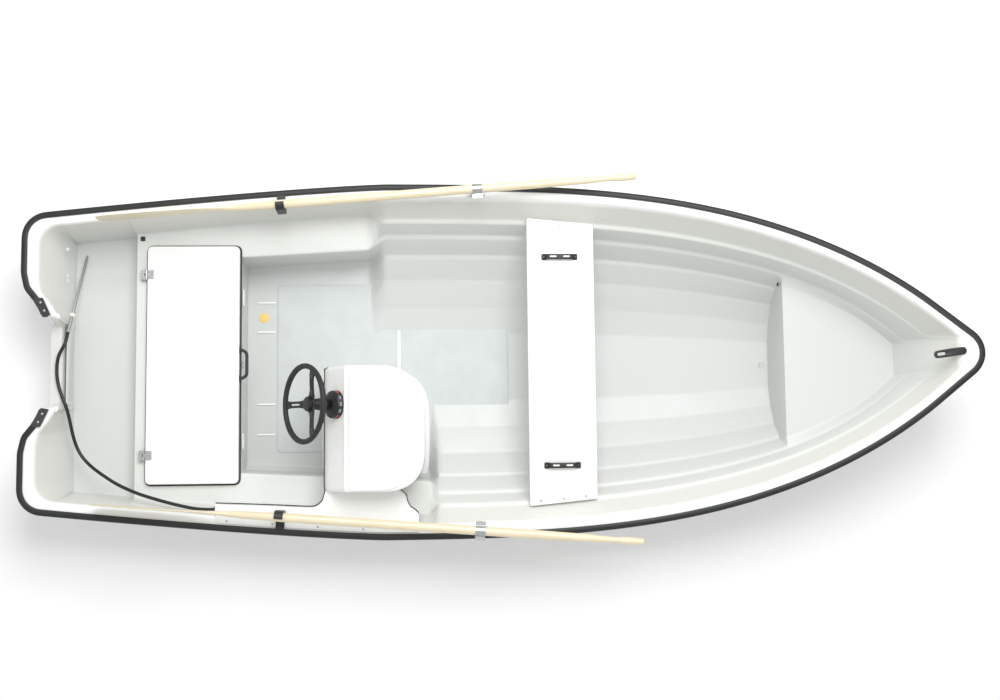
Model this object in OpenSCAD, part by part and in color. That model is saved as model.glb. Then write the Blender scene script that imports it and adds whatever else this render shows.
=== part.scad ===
// Open rowing boat with a helm console: hull, inner liner, seats, oars and helm.
// +X points to the bow, +Y to port, +Z up. The origin is amidships on the waterline.

/* [Hull] */
// Overall length over the rub rail
length_all = 4500; // [4480:10:4520]
// Overall beam over the rub rail
beam_all = 1690; // [1680:5:1700]
// Height of the gunwale above the water amidships
gunwale_h = 450; // [445:5:460]
// Rise of the gunwale from its low point to the stem
bow_rise = 230; // [220:5:240]
// Rise of the gunwale from its low point to the stern
stern_rise = 10; // [5:1:15]
// Depth of the hull bottom below the water
draft = 120; // [110:5:130]
// Depth of the moulded keel below the hull bottom
keel_h = 30; // [25:1:35]
// Wall thickness of the hull moulding
hull_t = 6; // [5:0.5:7]

/* [Liner] */
// Wall thickness of the inner moulding
liner_t = 5; // [4:0.5:6]
// Height of the cockpit floor above the water
floor_z = -30; // [-35:1:-20]
// Height of the helm seat deck
deck_z = 250; // [245:1:260]
// Height of the motor well's floor
well_z = 150; // [145:1:160]
// Height of the bow bench
bench_z = 240; // [230:1:250]
// Height of the transom's top, where an outboard motor clamps
transom_z = 330; // [325:1:335]

/* [Seats] */
// Length of the locker lid, fore and aft
lid_l = 440; // [430:1:445]
// Width of the locker lid
lid_w = 1148; // [1140:2:1156]
// Width of the middle thwart, fore and aft
thwart_w = 325; // [310:5:340]
// Height of the thwart's top
thwart_z = 362; // [360:1:366]

/* [Helm] */
// Outer diameter of the steering wheel
wheel_d = 370; // [350:5:380]
// Angle of the steering shaft above the horizontal
shaft_tilt = 35; // [33:1:37]
// Height of the console's top
console_z = 620; // [615:5:630]

/* [Oars] */
// Overall length of an oar
oar_l = 2530; // [2500:10:2550]
// Length of the oar inboard of its rowlock
oar_inboard = 762; // [750:1:765]
// Height of the oar's axis
oar_z = 550; // [545:1:560]
// Depth of the oar blade
blade_w = 130; // [120:2:136]

/* [Hidden] */
$fn = 48;

rail_t = 23;                              // how far the rub rail stands out
x_tip = length_all/2 - rail_t;            // gunwale edge at the stem
x_pod = -x_tip;                           // gunwale edge at the stern quarters
wide_x = -545;                            // where the hull is widest
low_x = -300;                             // where the gunwale is lowest
gun_b = beam_all/2 - rail_t;              // half breadth at the gunwale edge
stem_b = 12;                              // half breadth of the stem's face
stem_r = 85;                              // radius of the rounded bow, seen from above
corner_x = x_pod + 100;                   // where the rounded quarter meets the side
bench_x = 1420;                           // after edge of the bow bench
rake = 300;                               // how far the stem leans over its height
flange_w = 38;                            // width of the gunwale flange
gap = 0.3;                                // clearance between separate mouldings

// ---- curves of the boat ----
function ramp(a, b, x) = min(1, max(0, (x - a)/(b - a)));
function mix(a, b, t) = a + (b - a)*t;
function sheer(x) = gunwale_h + (x > low_x
    ? bow_rise*pow((x - low_x)/(x_tip - low_x), 2)
    : stern_rise*pow((low_x - x)/(low_x - x_pod), 2));
function round_bow(x) = sqrt(max(0, stem_r*stem_r - pow(max(0, x - x_tip + stem_r), 2)));
function half_beam(x) = x > wide_x
    ? max(stem_b, x > x_tip - stem_r ? round_bow(x) : 0, gun_b*pow(max(0, 1 - pow((x - wide_x)/(x_tip - wide_x), 3.05)), 0.833))
    : gun_b - 148*pow((wide_x - x)/1700, 1.277);
function bottom(x) = -draft + 100*pow(ramp(500, x_tip, x), 2.5) + 25*pow(ramp(-900, x_pod, x), 2);
// how far a point at depth fraction s moves aft, because the stem is raked
function lean(x, s) = rake*pow(max(0, s), 1.2)*pow(ramp(bench_x, x_tip, x), 1.5);

// ---- half loops round the plan: from the transom's middle over the port side to the stem ----
stern_plan = [[-2140, 0], [-2140, 100], [-2140, 196], [-2120, 214], [-2170, 300],
    [x_pod + 15, 352], [x_pod, 420], [x_pod, 500]];
arc_n = 4;
corner_arc = [for (k = [0:arc_n]) let(a = 180 - 90*k/arc_n)
    [corner_x + 100*cos(a), half_beam(corner_x) - 100 + 100*sin(a)]];
stern_n = len(stern_plan);
notch_n = 3;                              // points of stern_plan in the motor notch

function mirror_loop(h) = concat(h, [for (i = [len(h) - 1:-1:1]) [h[i][0], -h[i][1], h[i][2]]]);
function reversed(v) = [for (i = [len(v) - 1:-1:0]) v[i]];

// A closed wall from a stack of loops: inner skin from the middle out, then outer skin down.
module ring_shell(rings) {
    n = len(rings[0]);
    m = len(rings);
    last = (m - 1)*n;
    walls = [for (j = [0:m - 2]) for (i = [0:n - 1]) let(a = j*n + i, b = j*n + (i + 1)%n)
        each [[a, a + n, b + n], [a, b + n, b]]];
    k = (n - 1)/2;
    first_cap = concat([[0, 1, n - 1]], [for (i = [1:k - 1])
        each [[i, i + 1, n - i], [i + 1, n - i - 1, n - i]]]);
    end_cap = [for (f = first_cap) [last + f[0], last + f[2], last + f[1]]];
    polyhedron(points = [for (r = rings) each r], faces = concat(walls, first_cap, end_cap));
}

// ---- stations along the side ----
well_front = -1777;                       // fore end of the motor well
ridge_x = -1760;                          // edge of the helm seat deck
tub_aft = -1676;                          // the locker's inside, aft and fore
tub_fore = -1296;
face_x = -1264;                           // fore face of the locker
port_shelf_x = -655;                      // fore ends of the side shelves
starboard_shelf_x = -350;
side_x = [corner_x + 60, -1970, -1860, well_front, ridge_x, tub_aft - 8, tub_aft, -1540, -1410,
    tub_fore, tub_fore + 8, face_x - 10, face_x, -1110, -950, -800, port_shelf_x, -520,
    starboard_shelf_x, -290, -180, -60, 80, 220, 360, 500, 640, 780, 920, 1060, 1190,
    1290, bench_x - 12, bench_x, 1460, 1540, 1620, 1710, 1800, 1880, 1950, 1988, 2000, 2050, 2100,
    2145, 2175, 2200, 2218, x_tip];

// ---- hull ----
// the hull section: [share of the half breadth, share of the depth] at each strake's edge
hull_sec = [[1, 0], [0.978, 0.25], [0.94, 0.48], [0.875, 0.67], [0.74, 0.83], [0.46, 0.945]];
strake = 8;                               // how far each strake stands over the next
quarter_lean = 55;                        // how far the stern quarters slope forward
function fine(x) = 1 + 1.2*pow(ramp(500, x_tip, x), 2);

// one hull point: b and z0 are the half breadth and height at the gunwale
function hull_pt(x, b, z0, f, s, inset, t) = let(
    y = max(min(b, 8), b*pow(f, fine(x)) - inset*ramp(20, 200, b)),
    z = z0 - s*(z0 - bottom(x)),
    end = x > 0 ? -1.6*t*ramp(1700, x_tip, x) : t*1.5*ramp(-2050, -2110, x))
    [x - lean(x, s) + end, b > 0 ? max(2, y - t) : 0, z + t*pow(s, 0.5)];

function hull_ring(f, s, inset, t) = mirror_loop(concat(
    [for (i = [0:stern_n - 1]) let(p = stern_plan[i], top = i < notch_n ? transom_z : sheer(p[0]),
        q = hull_pt(p[0], p[1] + (abs(i - notch_n + 0.5) < 1 ? 10 : 0), top - liner_t - gap, f, s,
            inset*p[1]/600, t))
        [q[0] + s*quarter_lean*(i < notch_n ? 0 : i == notch_n ? 0.3 : 1), q[1], q[2]]],
    [for (p = corner_arc) let(q = hull_pt(p[0], p[1], sheer(p[0]) - liner_t - gap, f, s, inset, t))
        [q[0] + s*quarter_lean*ramp(corner_x + 50, corner_x - 40, p[0]), q[1], q[2]]],
    [for (x = side_x) hull_pt(x, half_beam(x), sheer(x) - liner_t - gap, f, s, inset, t)]));

keel_w = 22;                              // half breadth of the keel where it leaves the bottom
keel_x = -2085;                           // after end of the keel

// the keel: a narrow moulded skeg under the bottom
function keel_ring(w, dz, t) = mirror_loop(concat(
    [for (i = [0:stern_n - 1]) let(v = i/(stern_n + arc_n + 1), x = stern_plan[i][0])
        [keel_x + keel_w - w + t*1.5 + 3*i, w*v, bottom(x) + dz]],
    [for (i = [0:arc_n]) let(v = (stern_n + i)/(stern_n + arc_n + 1))
        [keel_x + keel_w - w + t*1.5 + 3*(stern_n + i), w*v, bottom(corner_x) + dz]],
    [for (x = side_x) [x - lean(x, 1) - (1.6*t + keel_w - w)*ramp(1700, x_tip, x),
        w*(1 - 0.5*ramp(1500, x_tip, x)), bottom(x) + dz*(1 - 0.6*ramp(1200, x_tip, x))]]));

module hull_shell() {
    outer = [for (k = [0:len(hull_sec) - 1]) let(h = hull_sec[k]) each (k == 0
        ? [hull_ring(h[0], h[1], 0, 0)]
        : [hull_ring(h[0], h[1], 0, 0), hull_ring(h[0], h[1] + 0.008, strake, 0)])];
    inner = [for (k = [0:len(hull_sec) - 1]) let(h = hull_sec[k])
        hull_ring(h[0], h[1], k == 0 ? 0 : strake, hull_t)];
    keel_out = [keel_ring(keel_w, 0, 0), keel_ring(16, -keel_h, 0), keel_ring(8, -keel_h, 0)];
    keel_in = [keel_ring(14, hull_t, hull_t), keel_ring(6, hull_t, hull_t)];
    color("white") ring_shell(concat(reversed(keel_in), reversed(inner), outer, keel_out));
}

// ---- liner ----
liner_sec = [[0.905, 0.27], [0.83, 0.5], [0.72, 0.7], [0.57, 0.85], [0.41, 0.94]];
deck_x = 2110;                            // after edge of the small bow plate
lip = 8;                                  // depth of the flange's downturned inner edge
lap = 9;                                  // how far each strake of the liner stands over the next

function spread(a, b, n) = [for (k = [1:n]) mix(a, b, k/n)];
// lapped strakes from the flange down to the floor, as [half breadth, height] pairs
function strakes(b, zs, floor_h) = let(w = max(b - flange_w - lip, 0.6*b))
    concat([for (h = liner_sec) each [[w*h[0], zs - h[1]*(zs - floor_h)],
        [0.98*w*h[0] - lap*ramp(60, 400, b), zs - (h[1] + 0.012)*(zs - floor_h)]]],
    [[w*0.22, floor_h], [min(30, w*0.1), floor_h]]);
// a steep side down to a level, then flat to the middle
function level(b, z, n) = concat([[b - 86, z + 9], [b - 94, z]],
    [for (y = spread(b - 94, 30, n)) [y, z]]);
function with_tub(b, z, depth) = concat([[b - 86, z + 9], [b - 94, z], [552, z], [546, z - depth]],
    [for (y = spread(546, 30, 8)) [y, z - depth]]);
// inner edge of a side shelf, which widens aft
function shelf_y(x) = 522 + 0.056*(x - face_x);
function with_shelf(b, y, z) = concat([[b - 86, z + 9], [b - 94, z], [y + 6, z], [y, z - 8],
    [y - 10, floor_z + 30], [y - 40, floor_z]], [for (v = spread(y - 40, 30, 6)) [v, floor_z]]);

// lapped strakes above a level, flat from where they meet it
function bench_cut(p, z) = let(
    below = min([for (k = [0:len(p) - 1]) if (p[k][1] < z) k]),
    a = p[below - 1], b = p[below], y = mix(a[0], b[0], (a[1] - z)/(a[1] - b[1])))
    [for (k = [0:len(p) - 1]) k < below ? p[k] : [k == below ? y : min(p[k][0], y - 3*k), z]];

// the section of the liner at x on the port (1) or starboard (-1) side, from ring 3 on
function liner_side(x, side) = let(b = half_beam(x), zs = sheer(x),
    shelf_x = side > 0 ? port_shelf_x : starboard_shelf_x)
    x <= well_front ? level(b, well_z, 10)
    : x < tub_aft ? with_tub(b, deck_z, 0)
    : x < tub_fore + 1 ? with_tub(b, deck_z, 190)
    : x < face_x ? with_tub(b, deck_z, 0)
    : x <= shelf_x ? with_shelf(b, shelf_y(x), deck_z)
    : x < bench_x ? strakes(b, zs, floor_z)
    : x < deck_x ? bench_cut(strakes(b, zs, floor_z), bench_z)
    : [for (p = strakes(b, zs, floor_z)) [p[0], zs + 2]];

function liner_pt(x, side, k) = let(b = half_beam(x), zs = sheer(x), f = flange_w,
    p = k == 0 ? [b, zs] : k == 1 ? [max(b - f, 0.75*b), zs + 3]
        : k == 2 ? [max(b - f - lip, 0.65*b), x < deck_x ? zs - lip : zs + 3]
        : liner_side(x, side)[k - 3],
    s = (zs - p[1])/(zs - floor_z))
    [x - lean(x, s) - 1.2*k*ramp(2100, x_tip, x), side*p[0], p[1]];

function liner_stern(i, side, k) = let(
    edge = i < stern_n ? stern_plan[i] : corner_arc[i - stern_n],
    top = i < notch_n ? transom_z : sheer(edge[0]),
    share = edge[1]/half_beam(corner_x),
    yk = abs(liner_pt(corner_x, 1, k)[1]),
    in_x = min(edge[0] + (k == 1 ? 45 : 53), -2080 + i),
    drop = k == 3 ? 9 : 0)
    k == 0 ? [edge[0], side*edge[1], top]
    : k < 3 ? [max(in_x, edge[0] + 15), side*share*yk, top + (k == 1 ? 3 : -lip)]
    : [-2080 + 0.4*(i + k), side*share*yk, well_z + drop];

function liner_half(side, k) = concat(
    [for (i = [0:stern_n + arc_n]) liner_stern(i, side, k)],
    [for (x = side_x) liner_pt(x, side, k)]);
function liner_ring(k) = let(p = liner_half(1, k), s = liner_half(-1, k))
    concat(p, [for (i = [len(s) - 1:-1:1]) s[i]]);

function unit(v) = v/max(norm(v), 1e-6);
function vertex_normal(g, j, i) = let(n = len(g[0]), m = len(g),
    along = unit(unit(g[j][(i + 1)%n] - g[j][i]) + unit(g[j][i] - g[j][(i + n - 1)%n])),
    across = unit((j < m - 1 ? unit(g[j + 1][i] - g[j][i]) : [0, 0, 0])
        + (j > 0 ? unit(g[j][i] - g[j - 1][i]) : [0, 0, 0])))
    unit(cross(across, along));

module cockpit_liner() {
    top = [for (k = [0:14]) liner_ring(k)];
    n = len(top[0]);
    under = [for (k = [0:14]) [for (i = [0:n - 1]) let(p = top[k][i], v = vertex_normal(top, k, i))
        k < 2 || p[0] > deck_x + 6 ? p - [0, 0, liner_t] : p - liner_t*1.2*(norm(v) > 0.5 ? v : [0, 0, 1])]];
    color("white") ring_shell(concat(reversed(top), under));
}

// ---- rub rail ----
function rail_path() = concat([for (i = [notch_n:stern_n - 1]) stern_plan[i]], corner_arc,
    [for (x = side_x) [x, x == x_tip ? stem_b : half_beam(x)]]);
rail_profile = [[gap, 8], [12, 10], [20, 6], [rail_t, -4], [rail_t, -14], [18, -24], [8, -28],
    [gap, -28]];

module rub_rail() {
    half = rail_path();
    path = concat(half, [for (i = [len(half) - 1:-1:0]) [half[i][0], -half[i][1]]]);
    n = len(path);
    m = len(rail_profile);
    function side(i) = let(a = path[max(0, i - 1)], b = path[min(n - 1, i + 1)], p = path[i],
        u = unit(p - a), v = unit(b - p), d = unit(u + v)) [-d[1], d[0]]/max(0.75, norm(u + v)/2);
    points = [for (i = [0:n - 1]) for (q = rail_profile)
        [path[i][0] + side(i)[0]*q[0], path[i][1] + side(i)[1]*q[0], sheer(path[i][0]) + q[1]]];
    walls = [for (i = [0:n - 2]) for (k = [0:m - 1]) let(a = i*m + k, b = i*m + (k + 1)%m)
        each [[a, b + m, a + m], [a, b, b + m]]];
    caps = [[for (k = [m - 1:-1:0]) k], [for (k = [0:m - 1]) (n - 1)*m + k]];
    color("#2a2c2d") polyhedron(points = points, faces = concat(walls, caps));
}

// ---- small shapes ----
module rounded_plate(l, w, h, r) {
    linear_extrude(h) {
        square([l - 2*r, w], center = true);
        square([l, w - 2*r], center = true);
        for (sx = [-1, 1], sy = [-1, 1]) translate([sx*(l/2 - r), sy*(w/2 - r)]) circle(r);
    }
}
module slot2d(l, w) {
    square([l - w, w], center = true);
    for (s = [-1, 1]) translate([s*(l - w)/2, 0]) circle(d = w);
}

// plates that clamp the two ends of the rub rail beside the motor notch
rail_end_t = 3;                           // thickness of a clamp plate
rail_end_holes = [[-2152, 278], [-2134, 240]];
module rail_end(side) {
    z = sheer(-2140) + 10.5;
    color("#303234") difference() {
        translate([0, 0, z]) linear_extrude(rail_end_t) polygon([for (p = [[-2186, 300], [-2142, 300],
            [-2104, 218], [-2148, 218]]) [p[0], side*p[1]]]);
        for (p = rail_end_holes) translate([p[0], p[1]*side, z - 1])
            cylinder(d = 6, h = rail_end_t + 2);
    }
}
module rail_end_port() { rail_end(1); }
module rail_end_starboard() { rail_end(-1); }

// pad on the inner face of the transom, under the motor clamp
pad_size = [110, 380, 6];                 // height, width and thickness
pad_at = [-2074, 0, 250];
module transom_pad() {
    color("gainsboro") translate(pad_at) rotate([0, 90, 0])
        rounded_plate(pad_size[0], pad_size[1], pad_size[2], 8);
}

// ---- locker ----
lid_x = -1704;                            // after edge of the lid
lid_t = 30;                               // depth of the lid's downturned rim
lid_skin = 5;
lid_top = deck_z + 34;
hinge_x = lid_x - 6;
hinge_z = lid_top - 4;
hinge_y = 436;
knuckle_d = 9;
pin_d = 5;
leaf_w = 48;                              // width of a hinge
leaf_t = 2.5;

module locker_lid() {
    color("white") difference() {
        translate([lid_x + lid_l/2, 0, lid_top - lid_t]) rounded_plate(lid_l, lid_w, lid_t, 18);
        translate([lid_x + lid_l/2, 0, lid_top - lid_t - 1])
            rounded_plate(lid_l - 2*lid_skin, lid_w - 2*lid_skin, lid_t - lid_skin + 1, 14);
    }
}
module knuckle(y0, y1, bore) {
    translate([hinge_x, y0, hinge_z]) rotate([-90, 0, 0]) difference() {
        cylinder(d = knuckle_d, h = y1 - y0);
        translate([0, 0, -1]) cylinder(d = bore, h = y1 - y0 + 2);
    }
}
// fixed half of a butt hinge: leaf on the deck's upstand, outer knuckles and the pin
module lid_hinge(side) {
    y = side*hinge_y;
    color("silver") union() {
        knuckle(y - 24, y - 8, pin_d - 1);
        knuckle(y + 8, y + 24, pin_d - 1);
        translate([hinge_x, y - 24, hinge_z]) rotate([-90, 0, 0]) cylinder(d = pin_d, h = leaf_w);
        translate([hinge_x - 26, y - 24, hinge_z - 4.5]) cube([24, leaf_w/3, leaf_t]);
        translate([hinge_x - 26, y + 8, hinge_z - 4.5]) cube([24, leaf_w/3, leaf_t]);
        translate([hinge_x - 26, y - 24, hinge_z - 4.5]) cube([16, leaf_w, leaf_t]);
        translate([hinge_x - 26, y - 24, deck_z + 0.5]) cube([4, leaf_w, hinge_z - deck_z - 3]);
    }
}
module lid_hinge_port() { lid_hinge(1); }
module lid_hinge_starboard() { lid_hinge(-1); }
// moving half: leaf on the lid and the middle knuckle
module lid_leaf(side) {
    y = side*hinge_y;
    color("silver") union() {
        knuckle(y - 7.7, y + 7.7, pin_d + 0.1);
        translate([hinge_x + 3.2, y - 7.7, lid_top + gap]) cube([6, 15.4, 2.2]);
        translate([hinge_x + 6.5, y - 22, lid_top + gap]) cube([30, 44, 2.2]);
    }
}
module lid_leaf_port() { lid_leaf(1); }
module lid_leaf_starboard() { lid_leaf(-1); }
// U handle on the lid's fore rim
module lid_handle() {
    x0 = lid_x + lid_l + gap;
    color("#26282a") translate([x0, 0, lid_top - 24]) linear_extrude(14) difference() {
        polygon([[0, -84], [30, -66], [42, -50], [42, 50], [30, 66], [0, 84]]);
        polygon([[-1, -64], [22, -50], [28, -42], [28, 42], [22, 50], [-1, 64]]);
    }
}
module locker_latch() {
    color("silver") translate([face_x + 7, 0, 200]) {
        translate([-2, -17, -22]) cube([4, 34, 44]);
        translate([2, -8, -12]) cube([9, 16, 26]);
    }
}
// two oval vent covers on the locker's face
module locker_vents() {
    color("white") for (y = [-372, 338]) translate([face_x + 7, y, 150]) rotate([90, 0, 90])
        linear_extrude(6) slot2d(84, 34);
}

// ---- seats ----
thwart_x = 130;                           // after edge of the thwart
thwart_half = 698;                        // half its length at the after edge
thwart_taper = 32;                        // how much shorter it is at the fore edge
thwart_t = 26;                            // depth of its downturned edge
thwart_skin = 5;
module thwart_plan(i) {
    a = thwart_half - i;
    b = thwart_half - thwart_taper - i;
    polygon([[i, -a], [thwart_w - i, -b], [thwart_w - i, b], [i, a]]);
}
module middle_thwart() {
    color("white") translate([thwart_x, 0, thwart_z - thwart_t]) difference() {
        linear_extrude(thwart_t) thwart_plan(0);
        translate([0, 0, -1]) linear_extrude(thwart_t - thwart_skin + 1) thwart_plan(thwart_skin);
    }
}
thwart_handle_y = 505;                    // from the middle to each handle
thwart_handle_w = 30;
module thwart_handle(side) {
    color("#26282a") translate([thwart_x + 158, side*thwart_handle_y, thwart_z + gap]) rotate([90, 0, 0])
        translate([0, 0, -thwart_handle_w/2]) linear_extrude(thwart_handle_w) difference() {
            polygon([[-88, 0], [-88, 8], [-70, 24], [70, 24], [88, 8], [88, 0]]);
            polygon([[-62, -1], [-62, 4], [-54, 14], [54, 14], [62, 4], [62, -1]]);
        }
}
module thwart_handle_port() { thwart_handle(1); }
module thwart_handle_starboard() { thwart_handle(-1); }

// ---- bow ----
cleat_x = 2086;
cleat_t = 14;
module bow_cleat() {
    color("#26282a") translate([cleat_x, 0, sheer(cleat_x) + 9]) rotate([0, -7, 0]) difference() {
        linear_extrude(cleat_t) slot2d(150, 38);
        translate([-42, 0, -1]) linear_extrude(cleat_t + 2) slot2d(40, 14);
    }
}
// eye bolt on the stem for a painter or a trailer winch
module bow_eye() {
    z = 330;
    x = x_tip - lean(x_tip, (sheer(x_tip) - z)/(sheer(x_tip) - bottom(x_tip)));
    color("silver") translate([x + 8, 0, z]) rotate([0, 24, 0]) {
        translate([0, -14, -30]) cube([4, 28, 60]);
        translate([2, 0, 0]) rotate([90, 0, 0]) difference() {
            union() {
                translate([18, 0, -5]) cylinder(d = 36, h = 10);
                translate([1, -18, -5]) cube([17, 36, 10]);
            }
            translate([18, 0, -6]) cylinder(d = 20, h = 12);
        }
    }
}

// ---- console ----
con_fore = -372;                          // fore side
con_port = -34;                           // port side
con_stbd = -616;                          // starboard side
con_t = 5;
con_aft = -874;                           // after end of the console's foot
dash_h = 134;                             // height of the sloped dash
dash_in = dash_h*tan(shaft_tilt);
dash_x = -730;                            // top edge of the dash
con_shelf = deck_z + 2;                   // where its cut-out meets the side shelf
con_r = 110;                              // corner radius at the fore side
duct_x = -1340;                           // after end of the cable duct along the side
duct_l = 942;
duct_z = gunwale_h + 7;                   // underside of the duct's top

module console_side(i) {
    polygon([[con_aft + 8 + i, floor_z - 1], [con_fore + 8 - i, floor_z - 1], [con_fore - i, console_z - 30],
        [con_fore - 26 - i, console_z - i], [dash_x + i*0.5, console_z - i],
        [dash_x - dash_in + i, console_z - dash_h], [con_aft + 34 + i, console_z - dash_h - 30]]);
}
module console_plan(i) {
    polygon(concat([[con_aft + i, con_port - i], [con_aft + i, con_stbd + i]],
        [[-480, con_stbd + i]],
        [for (a = [-90:15:90]) let(r = con_r - i) [con_fore - con_r + 2 + r*cos(a),
            (a < 0 ? con_stbd + con_r : con_port - con_r) + r*sin(a)]]));
}
module console_block(i) {
    intersection() {
        translate([0, 0, floor_z + 1]) linear_extrude(console_z - floor_z) console_plan(i);
        rotate([90, 0, 0]) linear_extrude(800) console_side(i);
    }
}
module console() {
    color("white") difference() {
        union() {
            console_block(0);
            translate([duct_x, -664, deck_z + 1]) cube([duct_l, 5, duct_z - deck_z]);
            translate([duct_x, -659, duct_z]) linear_extrude(4) polygon([[0, 0], [duct_l, 0],
                [duct_l, -130], [350, -120], [0, -80]]);
            for (x = [duct_x, duct_x + duct_l - 5]) translate([x, 0, 0]) rotate([90, 0, 90])
                linear_extrude(5) polygon([[-661, deck_z + 1], [-661, duct_z + 1],
                    [-710, duct_z + 1], [-710, 447], [-664, deck_z + 1]]);
            translate([-700, -662, 430]) cube([240, 80, 5]);
        }
        translate([0, 0, -con_t]) console_block(con_t);
        for (c = [[12, con_shelf], [44, 2]]) translate([0, 0, -100]) linear_extrude(100 + c[1])
            polygon([[con_aft - 30, -658], [con_fore + 30, -658],
                [con_fore + 30, c[0] - shelf_y(con_fore + 30)], [con_aft - 30, c[0] - shelf_y(con_aft - 30)]]);
        helm_place(0) translate([0, 0, -20]) cylinder(d = 40, h = 60);
    }
}

// ---- helm ----
helm_y = -213;                            // middle of the helm
bezel_d = 130;
bezel_h = 14;
helm_shaft_d = 24;
rim_d = 26;                               // thickness of the wheel's rim
hub_d = 84;
dash_mid = [dash_x - dash_in/2, helm_y, console_z - dash_h/2];
wheel_reach = 172;                        // from the dash to the wheel's plane
module helm_place(d) {
    translate(dash_mid) rotate([0, shaft_tilt - 90, 0]) translate([0, 0, d]) children();
}
module helm_bezel() {
    color("#202224") helm_place(gap) difference() {
        union() {
            cylinder(d = bezel_d, h = bezel_h);
            translate([0, 0, bezel_h]) cylinder(d1 = 112, d2 = 78, h = 30);
        }
        translate([0, 0, -1]) cylinder(d = helm_shaft_d + 0.1, h = 50);
    }
}
module helm_shaft() {
    color("#202224") helm_place(-15) union() {
        cylinder(d = helm_shaft_d, h = wheel_reach - 13);
        translate([0, 0, 65]) cylinder(d1 = 60, d2 = 44, h = 60);
    }
}
module steering_wheel() {
    r = (wheel_d - rim_d)/2;
    color("#1b1c1d") helm_place(wheel_reach) union() {
        rotate_extrude() translate([r, 0]) circle(rim_d/2);
        for (a = [180, 62, -62]) rotate([0, 0, a]) difference() {
            translate([30, -16, -14]) cube([r - 36, 32, 7]);
            translate([70, -6, -15]) cube([56, 12, 9]);
        }
        for (a = [180, 62, -62]) rotate([0, 0, a]) translate([r - 18, -16, -14]) cube([14, 32, 12]);
        translate([0, 0, -22]) cylinder(d = hub_d, h = 16);
    }
}
module wheel_hub() {
    color("#2b2d2f") helm_place(wheel_reach) translate([0, 0, -5.7]) {
        cylinder(d = hub_d - 10, h = 12);
        translate([0, 0, 12]) cylinder(d1 = hub_d - 10, d2 = 58, h = 8);
    }
}

// ---- oars ----
pin_x = -118;                             // the rowlock pin
pin_y = 801;
pin_size = 12;
socket_z = sheer(pin_x) + 4;              // the socket stands on the flange
socket_h = 40;
pin_foot = socket_z + 4;
oar_turn = atan2(62, oar_inboard);        // angle between the stowed oar and the keel
shaft_d = 42;                             // thickness of the oar at the pin
blade_l = 620;
module oar_place(side) {
    translate([pin_x, side*pin_y, oar_z]) rotate([0, 0, side*oar_turn]) children();
}
// one oar along X: handle forward, blade aft, the pin at the origin
module oar_body() {
    aft = oar_inboard - oar_l;
    color("#e2c48d") union() {
        rotate([0, 90, 0]) rotate_extrude() polygon([[0, aft + 60], [11, aft + 60], [13, aft + 200],
            [17, aft + blade_l], [shaft_d/2, aft + blade_l + 260], [shaft_d/2, 180],
            [19, 480], [14, oar_inboard - 150], [14, oar_inboard - 118], [17, oar_inboard - 104],
            [17.5, oar_inboard - 60], [16, oar_inboard - 6], [12, oar_inboard], [0, oar_inboard]]);
        rotate([90, 0, 0]) translate([0, 0, -5]) linear_extrude(10) polygon([
            [aft, -blade_w*0.42], [aft + 10, -blade_w/2], [aft + 120, -blade_w/2],
            [aft + 320, -blade_w*0.4], [aft + 480, -blade_w*0.24], [aft + blade_l, -12],
            [aft + blade_l, 12], [aft + 480, blade_w*0.24], [aft + 320, blade_w*0.4],
            [aft + 120, blade_w/2], [aft + 10, blade_w/2], [aft, blade_w*0.42]]);
    }
}
module oar_port() { oar_place(1) oar_body(); }
module oar_starboard() { oar_place(-1) oar_body(); }

// saddle and strap round the oar, with the pin that drops in the rowlock socket
clamp_l = 46;                             // length of the strap along the oar
module oar_clamp(side) {
    bore = shaft_d + 2*gap;
    color("silver") oar_place(side) union() {
        rotate([0, 90, 0]) translate([0, 0, -clamp_l/2]) difference() {
            union() {
                cylinder(d = bore + 8, h = clamp_l);
                translate([-4, -44, 0]) cube([8, 88, clamp_l]);
            }
            translate([0, 0, -1]) cylinder(d = bore, h = clamp_l + 2);
        }
        translate([0, 0, -bore/2 - 16]) cylinder(d = 30, h = 14);
        translate([0, 0, pin_foot - oar_z]) cylinder(d = pin_size, h = oar_z - pin_foot - bore/2 - 8);
    }
}
module oar_clamp_port() { oar_clamp(1); }
module oar_clamp_starboard() { oar_clamp(-1); }

// plate and tube in the gunwale that carry the pin
module rowlock_socket(side) {
    color("silver") translate([pin_x, side*pin_y, socket_z]) difference() {
        union() {
            linear_extrude(5) square([78, 34], center = true);
            cylinder(d = 28, h = socket_h);
        }
        translate([0, 0, 2]) cylinder(d = pin_size + 0.1, h = socket_h);
        for (s = [-1, 1]) translate([s*28, 0, -1]) cylinder(d = 5.5, h = 8);
    }
}
module rowlock_socket_port() { rowlock_socket(1); }
module rowlock_socket_starboard() { rowlock_socket(-1); }

// sprung clip that holds the stowed oar, open towards the outboard side
clip_reach = -926;                        // along the oar from the pin
clip_w = 40;
clip_t = 8;                               // thickness of its curved wall
module oar_clip(side) {
    foot = side > 0 ? sheer(pin_x + clip_reach) + 4 : gunwale_h + 11.5;
    color("#1d1f20") oar_place(side) translate([clip_reach, 0, 0]) union() {
        rotate([90, 0, 90]) translate([0, 0, -clip_w/2]) linear_extrude(clip_w) scale([side, 1]) difference() {
            union() {
                circle(shaft_d/2 + clip_t);
                translate([-shaft_d/2 - clip_t, foot - oar_z]) square([14, oar_z - foot]);
                translate([-shaft_d/2 - clip_t, foot - oar_z]) square([90, 6]);
            }
            circle(shaft_d/2 + 1.2);
            translate([-4, -shaft_d/2 - 1.2]) square([60, shaft_d + 2.4]);
            translate([8, -40]) square([40, 30]);
            translate([8, 10]) square([40, 50]);
        }
    }
}
module oar_clip_port() { oar_clip(1); }
module oar_clip_starboard() { oar_clip(-1); }

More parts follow.
